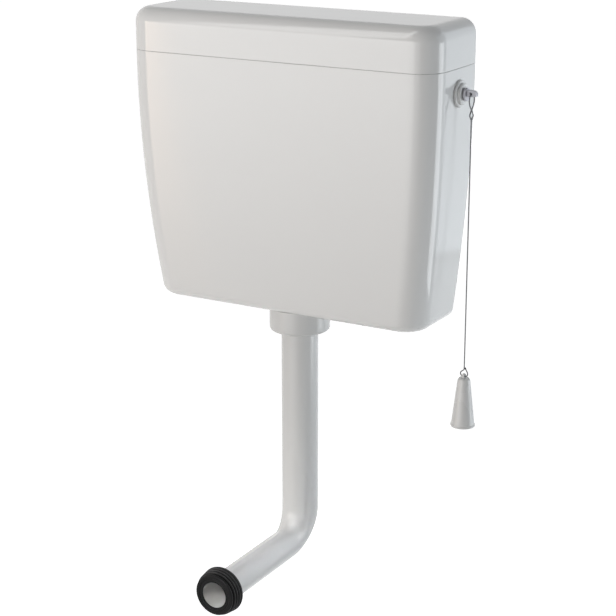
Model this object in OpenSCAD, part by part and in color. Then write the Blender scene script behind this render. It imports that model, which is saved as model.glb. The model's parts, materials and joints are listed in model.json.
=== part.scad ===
// Toilet cistern for the wall, with a pull cord, a flush valve, a fill valve and a flush bend.
// Millimetres. The origin is midway between the two wall-fixing holes, on the flat back.
// +Z is up, the front faces -Y, and the lever is on the +X side.
// A drop is a distance below the rim of the tank.

/* [Tank] */
// Width of the tank at its rim
tank_w = 450; // [420:1:520]
// Depth of the tank at its rim, from the wall to the front
tank_d = 123; // [121:1:160]
// Height of the tank from its floor to its rim
tank_h = 336; // [310:1:420]
// How far each side draws in at the floor
side_draw = 24; // [10:1:30]
// How far the front draws in at the floor
front_draw = 18; // [6:1:20]
// Thickness of the moulded walls
wall = 3; // [2.5:0.1:4]
// Thickness of the floor
floor_t = 4; // [3:0.1:6]
// Radius of the two upright front corners
corner_r = 35; // [25:1:45]
// Radius of the two upright back corners
back_r = 5; // [4:0.5:8]
// Radius of the edge round the floor
foot_r = 12; // [8:1:16]
// Radius of the edge between the floor and the back
back_foot_r = 8; // [4:0.5:12]
// Distance of the outlet and inlet axes from the back
axis_y = 54.5; // [52:0.5:56]

/* [Lid] */
// Height of the lid above the rim
lid_h = 56; // [40:1:80]
// Thickness of the lid
lid_wall = 3; // [2.5:0.1:4]
// Radius of the top edge at the front and sides
lid_edge_r = 20; // [10:1:24]
// Radius of the top edge at the back
lid_back_r = 4; // [2:0.5:6]
// How far the locating skirt reaches into the tank
skirt_drop = 8; // [4:1:10]
// Thickness of the locating skirt
skirt_t = 2; // [1.5:0.1:3]
// Height of the band that joins the skirt to the lid
skirt_band = 8; // [4:1:14]
// Gap of the seam between tank and lid
seam_gap = 0.4; // [0.2:0.1:1]
// Bevel along both edges of the seam
seam_bevel = 0.6; // [0.3:0.1:1.2]

/* [Wall fixing] */
// Distance between the two fixing holes
fix_spacing = 200; // [160:1:240]
// Drop of the fixing holes
fix_drop = 45; // [40:1:60]
// Diameter of the fixing holes
fix_d = 9; // [6:0.5:10]
// Diameter of the boss round each fixing hole
fix_boss_d = 22; // [16:1:28]
// How far that boss stands into the tank
fix_boss_t = 5; // [2:0.5:8]

/* [Lever] */
// Drop of the lever axis
lever_drop = 31.5; // [28:0.5:36]
// Distance of the lever axis from the back
lever_y = 49.5; // [46:0.5:56]
// Diameter of the flange of the bush
bush_flange_d = 34; // [32:1:42]
// Thickness of that flange
bush_flange_t = 3; // [2:0.1:4]
// Diameter of the step on the flange
bush_step_d = 27; // [26:0.5:31]
// Height of that step
bush_step_t = 3.7; // [2:0.1:5]
// Outer diameter of the sleeve of the bush
bush_d = 24; // [23:0.5:28]
// Length of the sleeve, measured inwards from the flange
bush_len = 33; // [30:1:40]
// Width across the flats of the lock nut
bush_nut_w = 34; // [30:1:38]
// Thickness of the lock nut
bush_nut_t = 7; // [4:0.5:9]
// Distance of the pivot inside the flange
pivot_in = 25; // [22:0.5:27]
// Diameter of the pivot pin
lever_pin_d = 4; // [3:0.1:5]
// Thickness of the lever
lever_t = 7.5; // [6:0.5:9]
// Height of the outer arm above the lever axis
lever_up = 5.3; // [4.3:0.1:5.5]
// Height of the outer arm below the lever axis, at its root
lever_down = 2.5; // [2.5:0.1:5]
// Height of the outer arm below the lever axis, at its tip
lever_tip_down = 1.8; // [1.8:0.1:3]
// Distance of the tip outside the flange seat
lever_reach = 23.5; // [21:0.5:40]
// Distance of the cord eye outside the flange seat
eye_reach = 16.8; // [15:0.1:19]
// Diameter of the cord eye
eye_d = 3.6; // [3:0.1:4]
// Diameter of the round shield on the outer arm
shield_d = 16.5; // [14:0.5:20]
// Thickness of that shield
shield_t = 2.5; // [1.5:0.1:4]
// Largest angle of the lever
lever_angle = 8; // [4:0.5:9]
// Height of the inner arm at the pivot
arm_root_h = 10; // [8:0.5:11]
// Height of the inner arm at its end
arm_end_h = 7; // [5:0.5:9]
// Diameter of the peg that lifts the link
peg_d = 5; // [4:0.5:6]

/* [Cord and handle] */
// Diameter of the pull cord
cord_d = 1.6; // [1.2:0.1:1.8]
// Distance from the cord eye of the lever down to the eye of the handle
cord_hang = 366; // [200:1:700]
// Length of the handle without its eye
handle_len = 66; // [50:1:90]
// Diameter of the handle at its top
handle_top_d = 16; // [13:0.5:18]
// Diameter of the handle at its lower rim
handle_d = 31.5; // [26:0.5:40]
// Thickness of the wall of the handle
handle_wall = 2; // [1.5:0.1:3]

/* [Outlet] */
// Outer diameter of the threaded tail
tail_d = 58.5; // [56:0.5:62]
// Bore of the tail
tail_bore = 47; // [44:0.5:50]
// Diameter of the flange of the seat
seat_flange_d = 86; // [80:1:90]
// Thickness of the flange of the seat
seat_flange_t = 4; // [3:0.5:6]
// Height of the sealing lip above the flange
lip_h = 3.5; // [2:0.5:6]
// Thickness of the flat rubber washers
washer_t = 2.5; // [1.5:0.1:4]
// Outer diameter of the back nut
back_nut_d = 72; // [68:1:73]
// Thickness of the back nut
back_nut_t = 8; // [5:0.5:10]
// Outer diameter of the cup-shaped coupling nut
coupling_d = 82; // [80:1:90]
// Height of the coupling nut
coupling_h = 33; // [28:0.5:40]
// Radius of the lower edge of the coupling nut
coupling_edge_r = 5; // [2:0.5:7]
// Wall of the cup of the coupling nut
coupling_wall = 3; // [2:0.5:3]
// Thickness of the lip that carries the flush pipe
coupling_lip_t = 4; // [3:0.5:6]

/* [Flush valve] */
// Outer diameter of the overflow tube
tube_d = 36; // [32:0.5:38]
// Wall of the overflow tube
tube_wall = 2; // [1.5:0.1:3]
// Drop of the mouth of the overflow tube
overflow_drop = 85; // [80:1:95]
// Outer diameter of the rubber disc
disc_d = 62; // [58:1:66]
// Thickness of the rubber disc
disc_t = 3.5; // [2:0.5:5]
// Height of the ring that holds the disc
retainer_h = 4; // [3:0.5:6]
// Outer diameter of that ring
retainer_d = 43; // [41:0.5:44]
// Height of the cage above the seat flange
cage_h = 86; // [70:1:100]
// Outer diameter of the ring float
ring_float_d = 74; // [60:1:84]
// Height of the ring float
ring_float_h = 50; // [30:1:60]
// Wall of both floats
float_wall = 2; // [1.5:0.1:2.5]
// Distance of the ring float above the cage
ring_float_gap = 15; // [6:1:30]
// Height of the cross bar above the mouth of the tube
bar_rise = 15; // [12:0.5:20]
// Diameter of the cross bar
bar_d = 5; // [4:0.5:6]
// Thickness of the lift link
link_t = 5; // [3:0.5:5]

/* [Flush pipe] */
// Outer diameter of the upright pipe
pipe_d = 50; // [46:0.5:52]
// Wall of the pipe
pipe_wall = 2.5; // [1.5:0.1:3.5]
// Thickness of the flange at the top of the pipe
pipe_flange_t = 3; // [2:0.5:5]
// Distance from the underside of the tank to the axis of the lower leg
pipe_drop = 334.5; // [250:0.5:420]
// Radius of the bend on the centreline
bend_r = 44; // [36:1:70]
// Outer diameter of the lower leg
leg_d = 41; // [38:0.5:46]
// Distance from the upright pipe to the front of the seal
leg_reach = 222.5; // [160:0.5:300]

/* [Pan seal] */
// Diameter of the nose of the seal
nose_d = 52; // [51:0.5:56]
// Length of the nose
nose_len = 3.5; // [3:0.5:8]
// Diameter of the mouth of the seal
mouth_d = 35; // [30:0.5:36]
// Thickness of the lip in front of the pipe end
seal_lip_t = 1.5; // [1:0.5:6]
// Diameter of the largest fin
fin_d = 59; // [56:0.5:72]
// Number of fins behind the nose
fin_count = 4; // [2:1:5]
// Distance from fin to fin
fin_pitch = 4.6; // [3.6:0.1:6]
// Diameter of the sleeve under the fins
sleeve_d = 48; // [47:0.5:50]
// Length of the sleeve behind the last fin
sleeve_tail = 7; // [3:0.5:12]

/* [Fill valve] */
// Drop of the inlet axis
inlet_drop = 52; // [48:0.5:58]
// Outer diameter of the threaded inlet tail
inlet_d = 20.9; // [19.5:0.1:22]
// Depth of the thread of the inlet tail
inlet_thread = 1.1; // [0.8:0.1:1.2]
// Bore of the inlet tail
inlet_bore = 11; // [9:0.5:11.5]
// Length of the inlet tail outside the wall
inlet_len = 24; // [20:0.5:30]
// Width across the flats of the inlet nut
inlet_nut_w = 30; // [27:0.5:34]
// Thickness of the inlet nut
inlet_nut_t = 8; // [5:0.5:10]
// Outer diameter of the barrel
barrel_d = 26; // [25:0.5:28]
// Length of the barrel from its flange
barrel_len = 36; // [34:1:42]
// Outer diameter of the flange inside the wall
inlet_flange_d = 34; // [30:0.5:38]
// Thickness of that flange
inlet_flange_t = 4; // [3:0.5:6]
// Diameter of the water chamber in the barrel
chamber_d = 20; // [18:0.5:21]
// Bore of the nozzle
nozzle_bore = 6; // [4:0.5:7]
// Outer diameter of the piston
piston_d = 14; // [13:0.1:15]
// Diameter of the stem of the piston
piston_stem_d = 5; // [4:0.5:6]
// Outer diameter of the cap
cap_d = 32; // [31:0.5:36]
// Outer diameter of the quiet tube
quiet_d = 19; // [18:0.5:22]
// Wall of the quiet tube
quiet_wall = 1.8; // [1.2:0.1:2.5]
// Length of the quiet tube
quiet_len = 84; // [50:1:110]

/* [Float] */
// Height of the piston axis above the pivot of the float arm
finger_rise = 11; // [9:0.5:13]
// Distance from the pivot to the eye of the float arm
float_arm_len = 61; // [55:1:68]
// How far the eye lies below the pivot when the valve is closed
float_arm_fall = 15; // [10:1:20]
// Angle through which the float drops from closed to empty
float_angle = 25; // [15:1:28]
// Diameter of the pivot pin of the float arm
float_pin_d = 3; // [2.5:0.1:4]
// Diameter of the float
float_d = 60; // [50:1:64]
// Height of the float
float_h = 56; // [40:1:64]
// Radius of the edges of the float
float_edge_r = 8; // [4:1:12]
// Diameter of the threaded stem
stem_d = 6; // [5:0.5:7]
// Diameter of the stem nuts
stem_nut_d = 14; // [12:0.5:18]
// Thickness of a stem nut
stem_nut_t = 5; // [3:0.5:7]

/* [Fits] */
// Radial clearance of a pin in its hole
pin_fit = 0.05; // [0.02:0.01:0.08]
// Radial clearance of a thread or a plug-in piece
thread_fit = 0.1; // [0.05:0.05:0.2]
// Gap between faces that meet when the object works
touch_gap = 0.3; // [0.25:0.05:0.5]
// Clearance of pieces that move freely past each other
free_gap = 0.5; // [0.4:0.1:1]

/* [Hidden] */
$fn = 64;
// Small overlap that keeps joined faces from lying in one plane, and cuts from ending on one
lap = 1;
// How far a flat washer stays inside the edge of the flange that clamps it
washer_in = 2;
// Smallest radius of the upright corners on inner faces, at the front and at the back
least_corner_r = 2;
least_back_r = 1;

// Moulded skins: steps of the lofts
corner_steps = 8;
back_steps = 2;
edge_steps = 5;
wall_steps = 8;
bend_steps = 12;
pipe_sides = 48;

// Levels of tank and outlet
rim_z = fix_drop;
floor_z = rim_z - tank_h;
floor_in_z = floor_z + floor_t;
seat_z0 = floor_in_z + washer_t;
seat_z1 = seat_z0 + seat_flange_t;
lip_z = seat_z1 + lip_h;
disc_z0 = lip_z + touch_gap;
disc_z1 = disc_z0 + disc_t;
tube_z0 = disc_z0 - retainer_h;
tube_z1 = rim_z - overflow_drop;
cage_z1 = seat_z1 + cage_h;
ring_float_z0 = cage_z1 + ring_float_gap;
ring_float_z1 = ring_float_z0 + ring_float_h;
bar_z = tube_z1 + bar_rise;
coupling_z0 = floor_z - coupling_h;
pipe_flange_z0 = coupling_z0 + coupling_lip_t;
pipe_top_z = pipe_flange_z0 + pipe_flange_t;
tail_z0 = pipe_top_z + washer_t;
leg_z = floor_z - pipe_drop;
seal_y = -axis_y - leg_reach;
// Diameter of the pieces that the coupling nut clamps
clamped_d = tail_d - 2 * free_gap;

// Seats of bush and inlet on small flat pads of the side walls
pad_proud = 0.4;
pad_margin = 1.5;
lever_z = rim_z - lever_drop;
lever_seat_x = side_x(lever_drop) + pad_proud;
lever_in_x = side_x(lever_drop) - wall - pad_proud;
inlet_z = rim_z - inlet_drop;
inlet_seat_x = -side_x(inlet_drop) - pad_proud;
inlet_in_x = -side_x(inlet_drop) + wall + pad_proud;

// Lever: the pivot carries an outer arm to the cord and an inner arm to the valve axis
pivot_x = lever_seat_x - pivot_in;
bush_out = bush_flange_t + bush_step_t;
hub_r = 5.5;
slot_w = lever_t + 2 * free_gap;
slot_down = lever_down + (pivot_in + bush_out) * sin(lever_angle) + free_gap;
slot_up = max(lever_up, hub_r) + (bush_len - pivot_in) * sin(lever_angle) + free_gap;
shield_gap = shield_d / 2 * sin(lever_angle) + (pivot_in + bush_out) * (1 - cos(lever_angle)) + free_gap;
eye_rise = 1.4;
eye_z = lever_z + eye_rise;
eye = [lever_seat_x + eye_reach, -lever_y, eye_z];
// Fork at the inner end, with the peg that the link hangs on; it lies on the axis of the valve
fork_y = lever_y - axis_y;
fork_wall = 3;
fork_w = link_t + 2 * free_gap + 2 * fork_wall;
peg_cover = 2.5;
fork_h = peg_d + 2 * peg_cover;
fork_back = peg_d / 2 + fork_wall;
fork_front = 15;
link_slot_out = peg_d / 2 + free_gap;
link_slot_in = link_slot_out + pivot_x * (1 - cos(lever_angle));
link_rim = 3;

// Loop of the cord through the lever eye, crossed above its knot, as offsets from that eye
loop_route = [
    [0, 1.1, -31], [1.2, 2.6, -27.3], [1.2, 1.6, -23.5], [0.9, -1.2, -19.5], [0.3, -5, -14.5],
    [0, -6.8, -9], [0, -6.6, -4.5], [0, -5, -1.3], [0, -2.5, -0.3], [0, 0, -0.2], [0, 2.5, -0.3],
    [0, 5, -1.3], [0, 6.6, -4.5], [0, 6.8, -9], [-0.3, 5, -14.5], [-0.9, 1.2, -19.5], [-1.2, -1.6, -23.5],
    [-1.2, -2.6, -27.3], [0, -1.1, -31]
];
// Lower loop through the eye of the handle, as offsets from that eye
handle_loop = [
    [-0.1, 0, 9], [-2.2, 0, 6.4], [-4.4, 0, 4], [-5.4, 0, 1.8], [-4.2, 0, -0.1], [-2, 0, -0.6], [0, 0, -0.6],
    [2, 0, -0.6], [4, 0, 0.2], [4.8, 0, 2.6], [4.2, 0, 5], [3, 0, 7.2], [2.1, 0, 9]
];
// Straight part of the cord, from the knot under the lever to a little above the lower loop
cord_top = 31.5;
cord_end = 21;
cord_straight = cord_hang - cord_top - cord_end;
straight_steps = 9;
cord_route = concat(
    [for (i = [0:straight_steps]) [0, 0, -cord_top - cord_straight * i / straight_steps]],
    [for (p = handle_loop) p - [0, 0, cord_hang]]
);
cord_sides = 8;
// Handle: its eye hangs in the lower loop of the cord
handle_eye = eye - [0, 0, cord_hang];
handle_eye_room = 1;
handle_eye_d = cord_d + 2 * handle_eye_room;
lug_t = 3;
lug_w = 7;
lug_drop = 2.5;
handle_top_z = handle_eye.z - lug_drop;
handle_rim_h = 3;
handle_rim_t = 0.4;
handle_dome = 3;

// Fill valve: distances u run inwards from the inner seat of the left wall
tail_u = inlet_seat_x - inlet_in_x - inlet_len;
inlet_core_d = inlet_d - 2 * inlet_thread;
mouth_step = 2;
inlet_mouth_d = inlet_bore + 2 * mouth_step;
inlet_mouth_t = 2;
strainer_flange_t = 1.5;
barrel_u = washer_t + inlet_flange_t;
chamber_wall = 8;
nozzle_len = 8;
chamber_u = barrel_u + chamber_wall;
nozzle_u = chamber_u + nozzle_len;
barrel_end_u = barrel_u + barrel_len;
cap_skirt = 8;
cap_end_t = 6;
cap_u = barrel_end_u + touch_gap;
cap_end_u = cap_u + cap_end_t;
nozzle_wall = 2.5;
stub_d = quiet_d - 2 * quiet_wall - 2 * thread_fit;
stub_wall = 2;
stub_bore = stub_d - 2 * stub_wall;
stub_len = 15;
quiet_top_z = inlet_z - barrel_d / 2 - lap;
ear_t = 3;
ear_gap = 13;
ear_r = 6;
ear_room = 1.5;
float_pivot_u = cap_end_u + ear_r + ear_room;
float_pivot_x = inlet_in_x + float_pivot_u;
float_pivot_z = inlet_z - finger_rise;
finger_t = 5;
// Travel of the piston between closed and empty, from the finger's radius
piston_travel = finger_rise * float_angle * PI / 180;
piston_tip_u = float_pivot_u - finger_t / 2 - free_gap;
washer_u = nozzle_u + touch_gap;
piston_washer_t = 3.5;
piston_rim = 1;
piston_washer_d = piston_d - 2 * piston_rim;
piston_cup = 1.3;
piston_u = washer_u + piston_washer_t - piston_cup;
piston_head_len = cap_u - piston_travel - free_gap - piston_u;

// Float arm in its closed position, measured from its pivot
float_eye_h = 8;
float_eye_d = 16;
stem_up = 18;
stem_in = 12;
float_under = 7;
float_top = -float_arm_fall - float_eye_h / 2 - thread_fit - stem_nut_t - float_under;

// Half the width of the tank at a drop below the rim
function side_x(drop) = tank_w / 2 - side_draw * pow(drop / tank_h, 2);

// Front of the tank at a drop below the rim
function front_y(drop) = -tank_d + front_draw * pow(drop / tank_h, 2);

// Points of an arc round c from angle a0 to a1
function arc(c, r, a0, a1, steps) =
    [for (i = [0:steps]) let (a = a0 + (a1 - a0) * i / steps) [c.x + r * cos(a), c.y + r * sin(a)]];

// Plan outline with a flat back, counterclockwise seen from above
function plan(half_w, y_back, y_front, r_front, r_back) = concat(
    arc([half_w - r_back, y_back - r_back], r_back, 0, 90, back_steps),
    arc([r_back - half_w, y_back - r_back], r_back, 90, 180, back_steps),
    arc([r_front - half_w, y_front + r_front], r_front, 180, 270, corner_steps),
    arc([half_w - r_front, y_front + r_front], r_front, 270, 360, corner_steps)
);

// One ring of the tank: inset at front and sides, inset at the back
function tank_ring(drop, inset, inset_back) = [
    for (p = plan(side_x(drop) - inset, -inset_back, front_y(drop) + inset,
        max(corner_r - inset, least_corner_r), max(back_r - inset_back, least_back_r)))
    [p.x, p.y, rim_z - drop]
];

// One ring of the lid, at a height above the rim
function lid_ring(rise, inset, inset_back) = [
    for (p = plan(tank_w / 2 - inset, -inset_back, inset - tank_d,
        max(corner_r - inset, least_corner_r), max(back_r - inset_back, least_back_r)))
    [p.x, p.y, rim_z + rise]
];

// Outside of the tank from its floor up to the bevel of its rim
function tank_outside() = concat(
    [for (i = [0:edge_steps]) let (a = 90 - 90 * i / edge_steps)
        tank_ring(tank_h - foot_r * (1 - sin(a)), foot_r * (1 - cos(a)), back_foot_r * (1 - cos(a)))],
    [for (i = [1:wall_steps]) let (low = tank_h - foot_r)
        tank_ring(low + (seam_bevel - low) * i / wall_steps, 0, 0)],
    [tank_ring(0, seam_bevel, seam_bevel)]
);

// Inside of the tank from its rim down to its floor
function tank_inside() = let (r = foot_r - wall, low = tank_h - floor_t - r,
        back_foot_in = back_foot_r - wall) concat(
    [for (i = [0:wall_steps]) tank_ring(low * i / wall_steps, wall, wall)],
    [for (i = [1:edge_steps]) let (a = 90 * i / edge_steps)
        tank_ring(low + r * sin(a), wall + r * (1 - cos(a)), wall + back_foot_in * (1 - cos(a)))]
);

// Underside of the lid from its ceiling down to the foot of its skirt
function lid_inside() = let (r = lid_edge_r - lid_wall, top = lid_h - lid_wall,
        skirt_in = wall + free_gap + skirt_t) concat(
    [for (i = [0:edge_steps]) let (a = 90 - 90 * i / edge_steps)
        lid_ring(top - r * (1 - sin(a)), lid_wall + r * (1 - cos(a)), lid_wall)],
    [lid_ring(skirt_band + skirt_t, lid_wall, lid_wall)],
    [lid_ring(skirt_band, skirt_in, skirt_in)],
    [lid_ring(-skirt_drop, skirt_in, skirt_in)]
);

// Outside of the lid from the foot of its skirt, over the seam, to its top
function lid_outside() = let (skirt_out = wall + free_gap) concat(
    [lid_ring(-skirt_drop, skirt_out, skirt_out)],
    [lid_ring(seam_gap, skirt_out, skirt_out)],
    [lid_ring(seam_gap, seam_bevel, seam_bevel)],
    [for (i = [0:1]) lid_ring(seam_gap + seam_bevel + i * (lid_h - lid_edge_r - seam_gap - seam_bevel), 0, 0)],
    [for (i = [1:edge_steps]) let (a = 90 * i / edge_steps)
        lid_ring(lid_h - lid_edge_r * (1 - sin(a)), lid_edge_r * (1 - cos(a)), lid_back_r * (1 - cos(a)))]
);

// Two triangles for each step round a band between the rings that start at points a and b
function band(a, b, n) = [
    for (i = [0:n - 1]) let (j = (i + 1) % n) each [[a + i, b + i, b + j], [a + i, b + j, a + j]]
];

// A skin over rings of equal length, each counterclockwise round the way that the list runs.
// Its two ends are capped, or joined to each other where the rings run out and back through a tube.
module skin(rings, tube = false) {
    n = len(rings[0]);
    last = len(rings) - 1;
    bands = [for (k = [0:last - 1]) each band(k * n, k * n + n, n)];
    caps = [for (i = [1:n - 2]) each [[0, i, i + 1], [last * n, last * n + i + 1, last * n + i]]];
    ends = tube ? band(last * n, 0, n) : caps;
    polyhedron(points = [for (r = rings) each r], faces = concat(bands, ends));
}

// Smooth curve through points: n steps of a cubic between each pair
function curve_point(a, b, c, d, t) =
    b + (c - a) * t / 2 + (2 * a - 5 * b + 4 * c - d) * t * t / 2 + (3 * b - a - 3 * c + d) * t * t * t / 2;
function curve(p, n) = let (last = len(p) - 1) concat(
    [for (i = [0:last - 1], k = [0:n - 1])
        curve_point(p[max(i - 1, 0)], p[i], p[i + 1], p[min(i + 2, last)], k / n)],
    [p[last]]
);

function unit(v) = v / norm(v);

// A round cord along a path; side is a direction that the path never follows
module cord(path, side) {
    last = len(path) - 1;
    skin([for (i = [0:last])
        let (t = unit(path[min(i + 1, last)] - path[max(i - 1, 0)]), u = unit(cross(t, side)), v = cross(t, u))
        [for (k = [0:cord_sides - 1]) let (a = 360 * k / cord_sides)
            path[i] + cord_d / 2 * (u * cos(a) + v * sin(a))]
    ]);
}

// Turn a piece that stands on +Z so that it runs along +X, or towards the front
module along_x() rotate([0, 90, 0]) children();
module to_front() rotate([90, 0, 0]) children();
// Place a piece on the axis of the outlet at a height
module at_outlet(z) translate([0, -axis_y, z]) children();
// Place a piece on the inlet axis, at a distance u inwards from the inner seat
module at_inlet(u) translate([inlet_in_x + u, -axis_y, inlet_z]) along_x() children();
// Place the float arm's pieces: closed position turned down to the empty position
module at_float() translate([float_pivot_x, -axis_y, float_pivot_z]) rotate([0, float_angle, 0]) children();

module ring(d, bore, h) difference() {
    cylinder(d = d, h = h);
    translate([0, 0, -lap]) cylinder(d = bore, h = h + 2 * lap);
}

// Disc with a rounded upper edge
module soft_disc(d, h, r) rotate_extrude() polygon(concat([[0, 0], [d / 2, 0]],
    arc([d / 2 - r, h - r], r, 0, 90, edge_steps), [[0, h]]));

// Cup that is open below and holds air round a core, with a rounded upper edge
module air_cup(d, core_d, h, r, t) rotate_extrude() polygon(concat(
    [[d / 2, 0]], arc([d / 2 - r, h - r], r, 0, 90, edge_steps), [[0, h], [0, 0], [core_d / 2, 0]],
    [[core_d / 2, h - t]], arc([d / 2 - r, h - r], r - t, 90, 0, edge_steps), [[d / 2 - t, 0]]));

module hex_nut(w, bore, h) difference() {
    cylinder(d = w / cos(30), h = h, $fn = 6);
    translate([0, 0, -lap]) cylinder(d = bore, h = h + 2 * lap);
}

// Tank: the skin with a boss round each fixing hole, and flat pads that bush and inlet clamp on
module tank() color("white") difference() {
    union() {
        skin(concat(tank_outside(), tank_inside()));
        for (s = [-1, 1])
            translate([s * fix_spacing / 2, -wall / 2, 0]) to_front()
                cylinder(d = fix_boss_d, h = wall / 2 + fix_boss_t);
        translate([lever_in_x, -lever_y, lever_z]) along_x()
            cylinder(d = bush_flange_d - pad_margin, h = lever_seat_x - lever_in_x);
        translate([inlet_seat_x, -axis_y, inlet_z]) along_x()
            cylinder(d = inlet_flange_d + 2 * pad_margin, h = inlet_in_x - inlet_seat_x);
    }
    for (s = [-1, 1])
        translate([s * fix_spacing / 2, lap, 0]) to_front()
            cylinder(d = fix_d, h = wall + fix_boss_t + 2 * lap);
    translate([lever_in_x - lap, -lever_y, lever_z]) along_x()
        cylinder(d = bush_d + 2 * free_gap, h = wall + 2 * pad_proud + 2 * lap);
    translate([inlet_seat_x - lap, -axis_y, inlet_z]) along_x()
        cylinder(d = inlet_core_d + 2 * free_gap, h = wall + 2 * pad_proud + 2 * lap);
    translate([inlet_in_x, -axis_y, inlet_z]) along_x() cylinder(d = inlet_flange_d + pad_margin, h = lap);
    at_outlet(floor_z - lap) cylinder(d = tail_d + 2 * free_gap, h = floor_t + 2 * lap);
    at_outlet(floor_in_z) cylinder(d = seat_flange_d + pad_margin, h = washer_t + seat_flange_t);
}

module lid() color("white") skin(concat(lid_inside(), lid_outside()));

module lever_bush() color("whitesmoke") translate([lever_seat_x, -lever_y, lever_z]) difference() {
    union() {
        along_x() soft_disc(bush_flange_d, bush_flange_t, bush_flange_t / 2);
        along_x() soft_disc(bush_step_d, bush_out, bush_step_t / 2);
        translate([-bush_len, 0, 0]) along_x() cylinder(d = bush_d, h = bush_len + bush_flange_t / 2);
    }
    translate([-bush_len - lap, -slot_w / 2, -slot_down])
        cube([bush_len + bush_out + 2 * lap, slot_w, slot_down + slot_up]);
    translate([-pivot_in, bush_d / 2 + lap, 0]) to_front()
        cylinder(d = lever_pin_d + 2 * pin_fit, h = bush_d + 2 * lap);
}

module bush_nut() color("whitesmoke") translate([lever_in_x - bush_nut_t, -lever_y, lever_z]) along_x()
    hex_nut(bush_nut_w, bush_d + 2 * thread_fit, bush_nut_t);

module lever_pin() color("silver") translate([pivot_x, -lever_y + bush_d / 2 - lap, lever_z]) to_front()
    cylinder(d = lever_pin_d, h = bush_d - 2 * lap);

// Outline of the outer arm, with a rounded upper tip
module outer_arm() {
    tip = pivot_in + lever_reach;
    tip_r = lever_up;
    to_front() linear_extrude(lever_t, center = true) polygon(concat(
        [[0, -lever_down], [pivot_in + bush_out, -lever_down], [tip, -lever_tip_down]],
        arc([tip - tip_r, lever_up - tip_r], tip_r, 0, 90, edge_steps), [[0, lever_up]]));
}

// Outline of the inner arm, drawn in by an inset on all sides
module inner_arm(t, inset) to_front() linear_extrude(t, center = true) polygon([
    [-bush_len + pivot_in - inset, arm_root_h / 2 - inset],
    [-bush_len + pivot_in - inset, inset - arm_root_h / 2],
    [fork_front - pivot_x + inset, inset - arm_end_h / 2],
    [fork_front - pivot_x + inset, arm_end_h / 2 - inset]
]);

module pull_lever() color("gainsboro") translate([pivot_x, -lever_y, lever_z]) difference() {
    rib = 1.6;
    web = 2.5;
    root_y = min(fork_y - fork_w / 2, -lever_t / 2);
    union() {
        outer_arm();
        translate([pivot_in + bush_out + shield_gap, 0, 0]) along_x() cylinder(d = shield_d, h = shield_t);
        to_front() cylinder(r = hub_r, h = lever_t, center = true);
        difference() {
            inner_arm(lever_t, 0);
            for (s = [-1, 1])
                translate([0, s * (web + lever_t) / 2, 0]) inner_arm(lever_t, rib);
        }
        translate([pivot_in - bush_len, -lever_t / 2, -arm_root_h / 2])
            cube([bush_len - pivot_in, lever_t, arm_root_h]);
        for (s = [-1, 1])
            translate([-pivot_x - fork_back, fork_y + s * (fork_w - fork_wall) / 2 - fork_wall / 2, -fork_h / 2])
                cube([fork_back + fork_front, fork_wall, fork_h]);
        translate([fork_front - pivot_x - rib, root_y, -fork_h / 2])
            cube([2 * rib, max(fork_y + fork_w / 2, lever_t / 2) - root_y, fork_h]);
        translate([-pivot_x, fork_y + fork_w / 2 - lap, 0]) to_front() cylinder(d = peg_d, h = fork_w - 2 * lap);
    }
    translate([0, lever_t, 0]) to_front() cylinder(d = lever_pin_d + 2 * pin_fit, h = 2 * lever_t);
    translate([eye.x - pivot_x, lever_t, eye_z - lever_z]) to_front() cylinder(d = eye_d, h = 2 * lever_t);
}

module cord_loop() color("dimgray") cord(curve([for (p = loop_route) eye + p], 2), [1, 0, 0]);

module pull_cord() color("dimgray") cord(curve([for (p = cord_route) eye + p], 2), [0, 1, 0]);

// Radius of the handle at a distance below its top
function handle_r(s) = (handle_top_d + (handle_d - handle_top_d) * s / handle_len) / 2;

module pull_handle() color("whitesmoke") translate([handle_eye.x, handle_eye.y, handle_top_z]) difference() {
    rim_r = handle_d / 2 + handle_rim_t;
    ceiling = 2 * handle_dome;
    union() {
        rotate_extrude() polygon(concat(
            [[0, 0]],
            arc([handle_r(handle_dome) - handle_dome, -handle_dome], handle_dome, 90, 0, edge_steps),
            [[handle_r(handle_len - handle_rim_h), handle_rim_h - handle_len]],
            [[rim_r, handle_rim_h - handle_rim_t - handle_len], [rim_r, handle_rim_t - handle_len]],
            [[handle_d / 2, -handle_len], [handle_d / 2 - handle_wall, -handle_len]],
            [[handle_r(ceiling) - handle_wall, -ceiling], [0, -ceiling]]
        ));
        translate([-lug_t / 2, 0, lug_drop]) along_x() cylinder(d = lug_w, h = lug_t);
        translate([-lug_t / 2, -lug_w / 2, -lap]) cube([lug_t, lug_w, lug_drop + lap]);
    }
    translate([-lug_t, 0, lug_drop]) along_x() cylinder(d = handle_eye_d, h = 2 * lug_t);
}

module valve_seat() color("whitesmoke") at_outlet(0) rotate_extrude() {
    lip = 4.5;
    edge = 1;
    polygon([
        [tail_bore / 2, tail_z0], [tail_d / 2, tail_z0], [tail_d / 2, seat_z0], [seat_flange_d / 2, seat_z0],
        [seat_flange_d / 2, seat_z1], [tail_bore / 2 + lip, seat_z1], [tail_bore / 2 + lip - edge, lip_z],
        [tail_bore / 2 + edge, lip_z], [tail_bore / 2, lip_z - edge]
    ]);
}

module outlet_washer() color("dimgray") at_outlet(floor_in_z)
    ring(seat_flange_d - 2 * washer_in, tail_d + 2 * thread_fit, washer_t);

module outlet_back_nut() color("whitesmoke") at_outlet(floor_z - back_nut_t) difference() {
    notches = 8;
    notch_w = 6;
    notch_in = 3;
    ring(back_nut_d, tail_d + 2 * thread_fit, back_nut_t);
    for (i = [0:notches - 1])
        rotate(360 * i / notches) translate([back_nut_d / 2 - notch_in, -notch_w / 2, -lap])
            cube([notch_in + lap, notch_w, back_nut_t + 2 * lap]);
}

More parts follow.
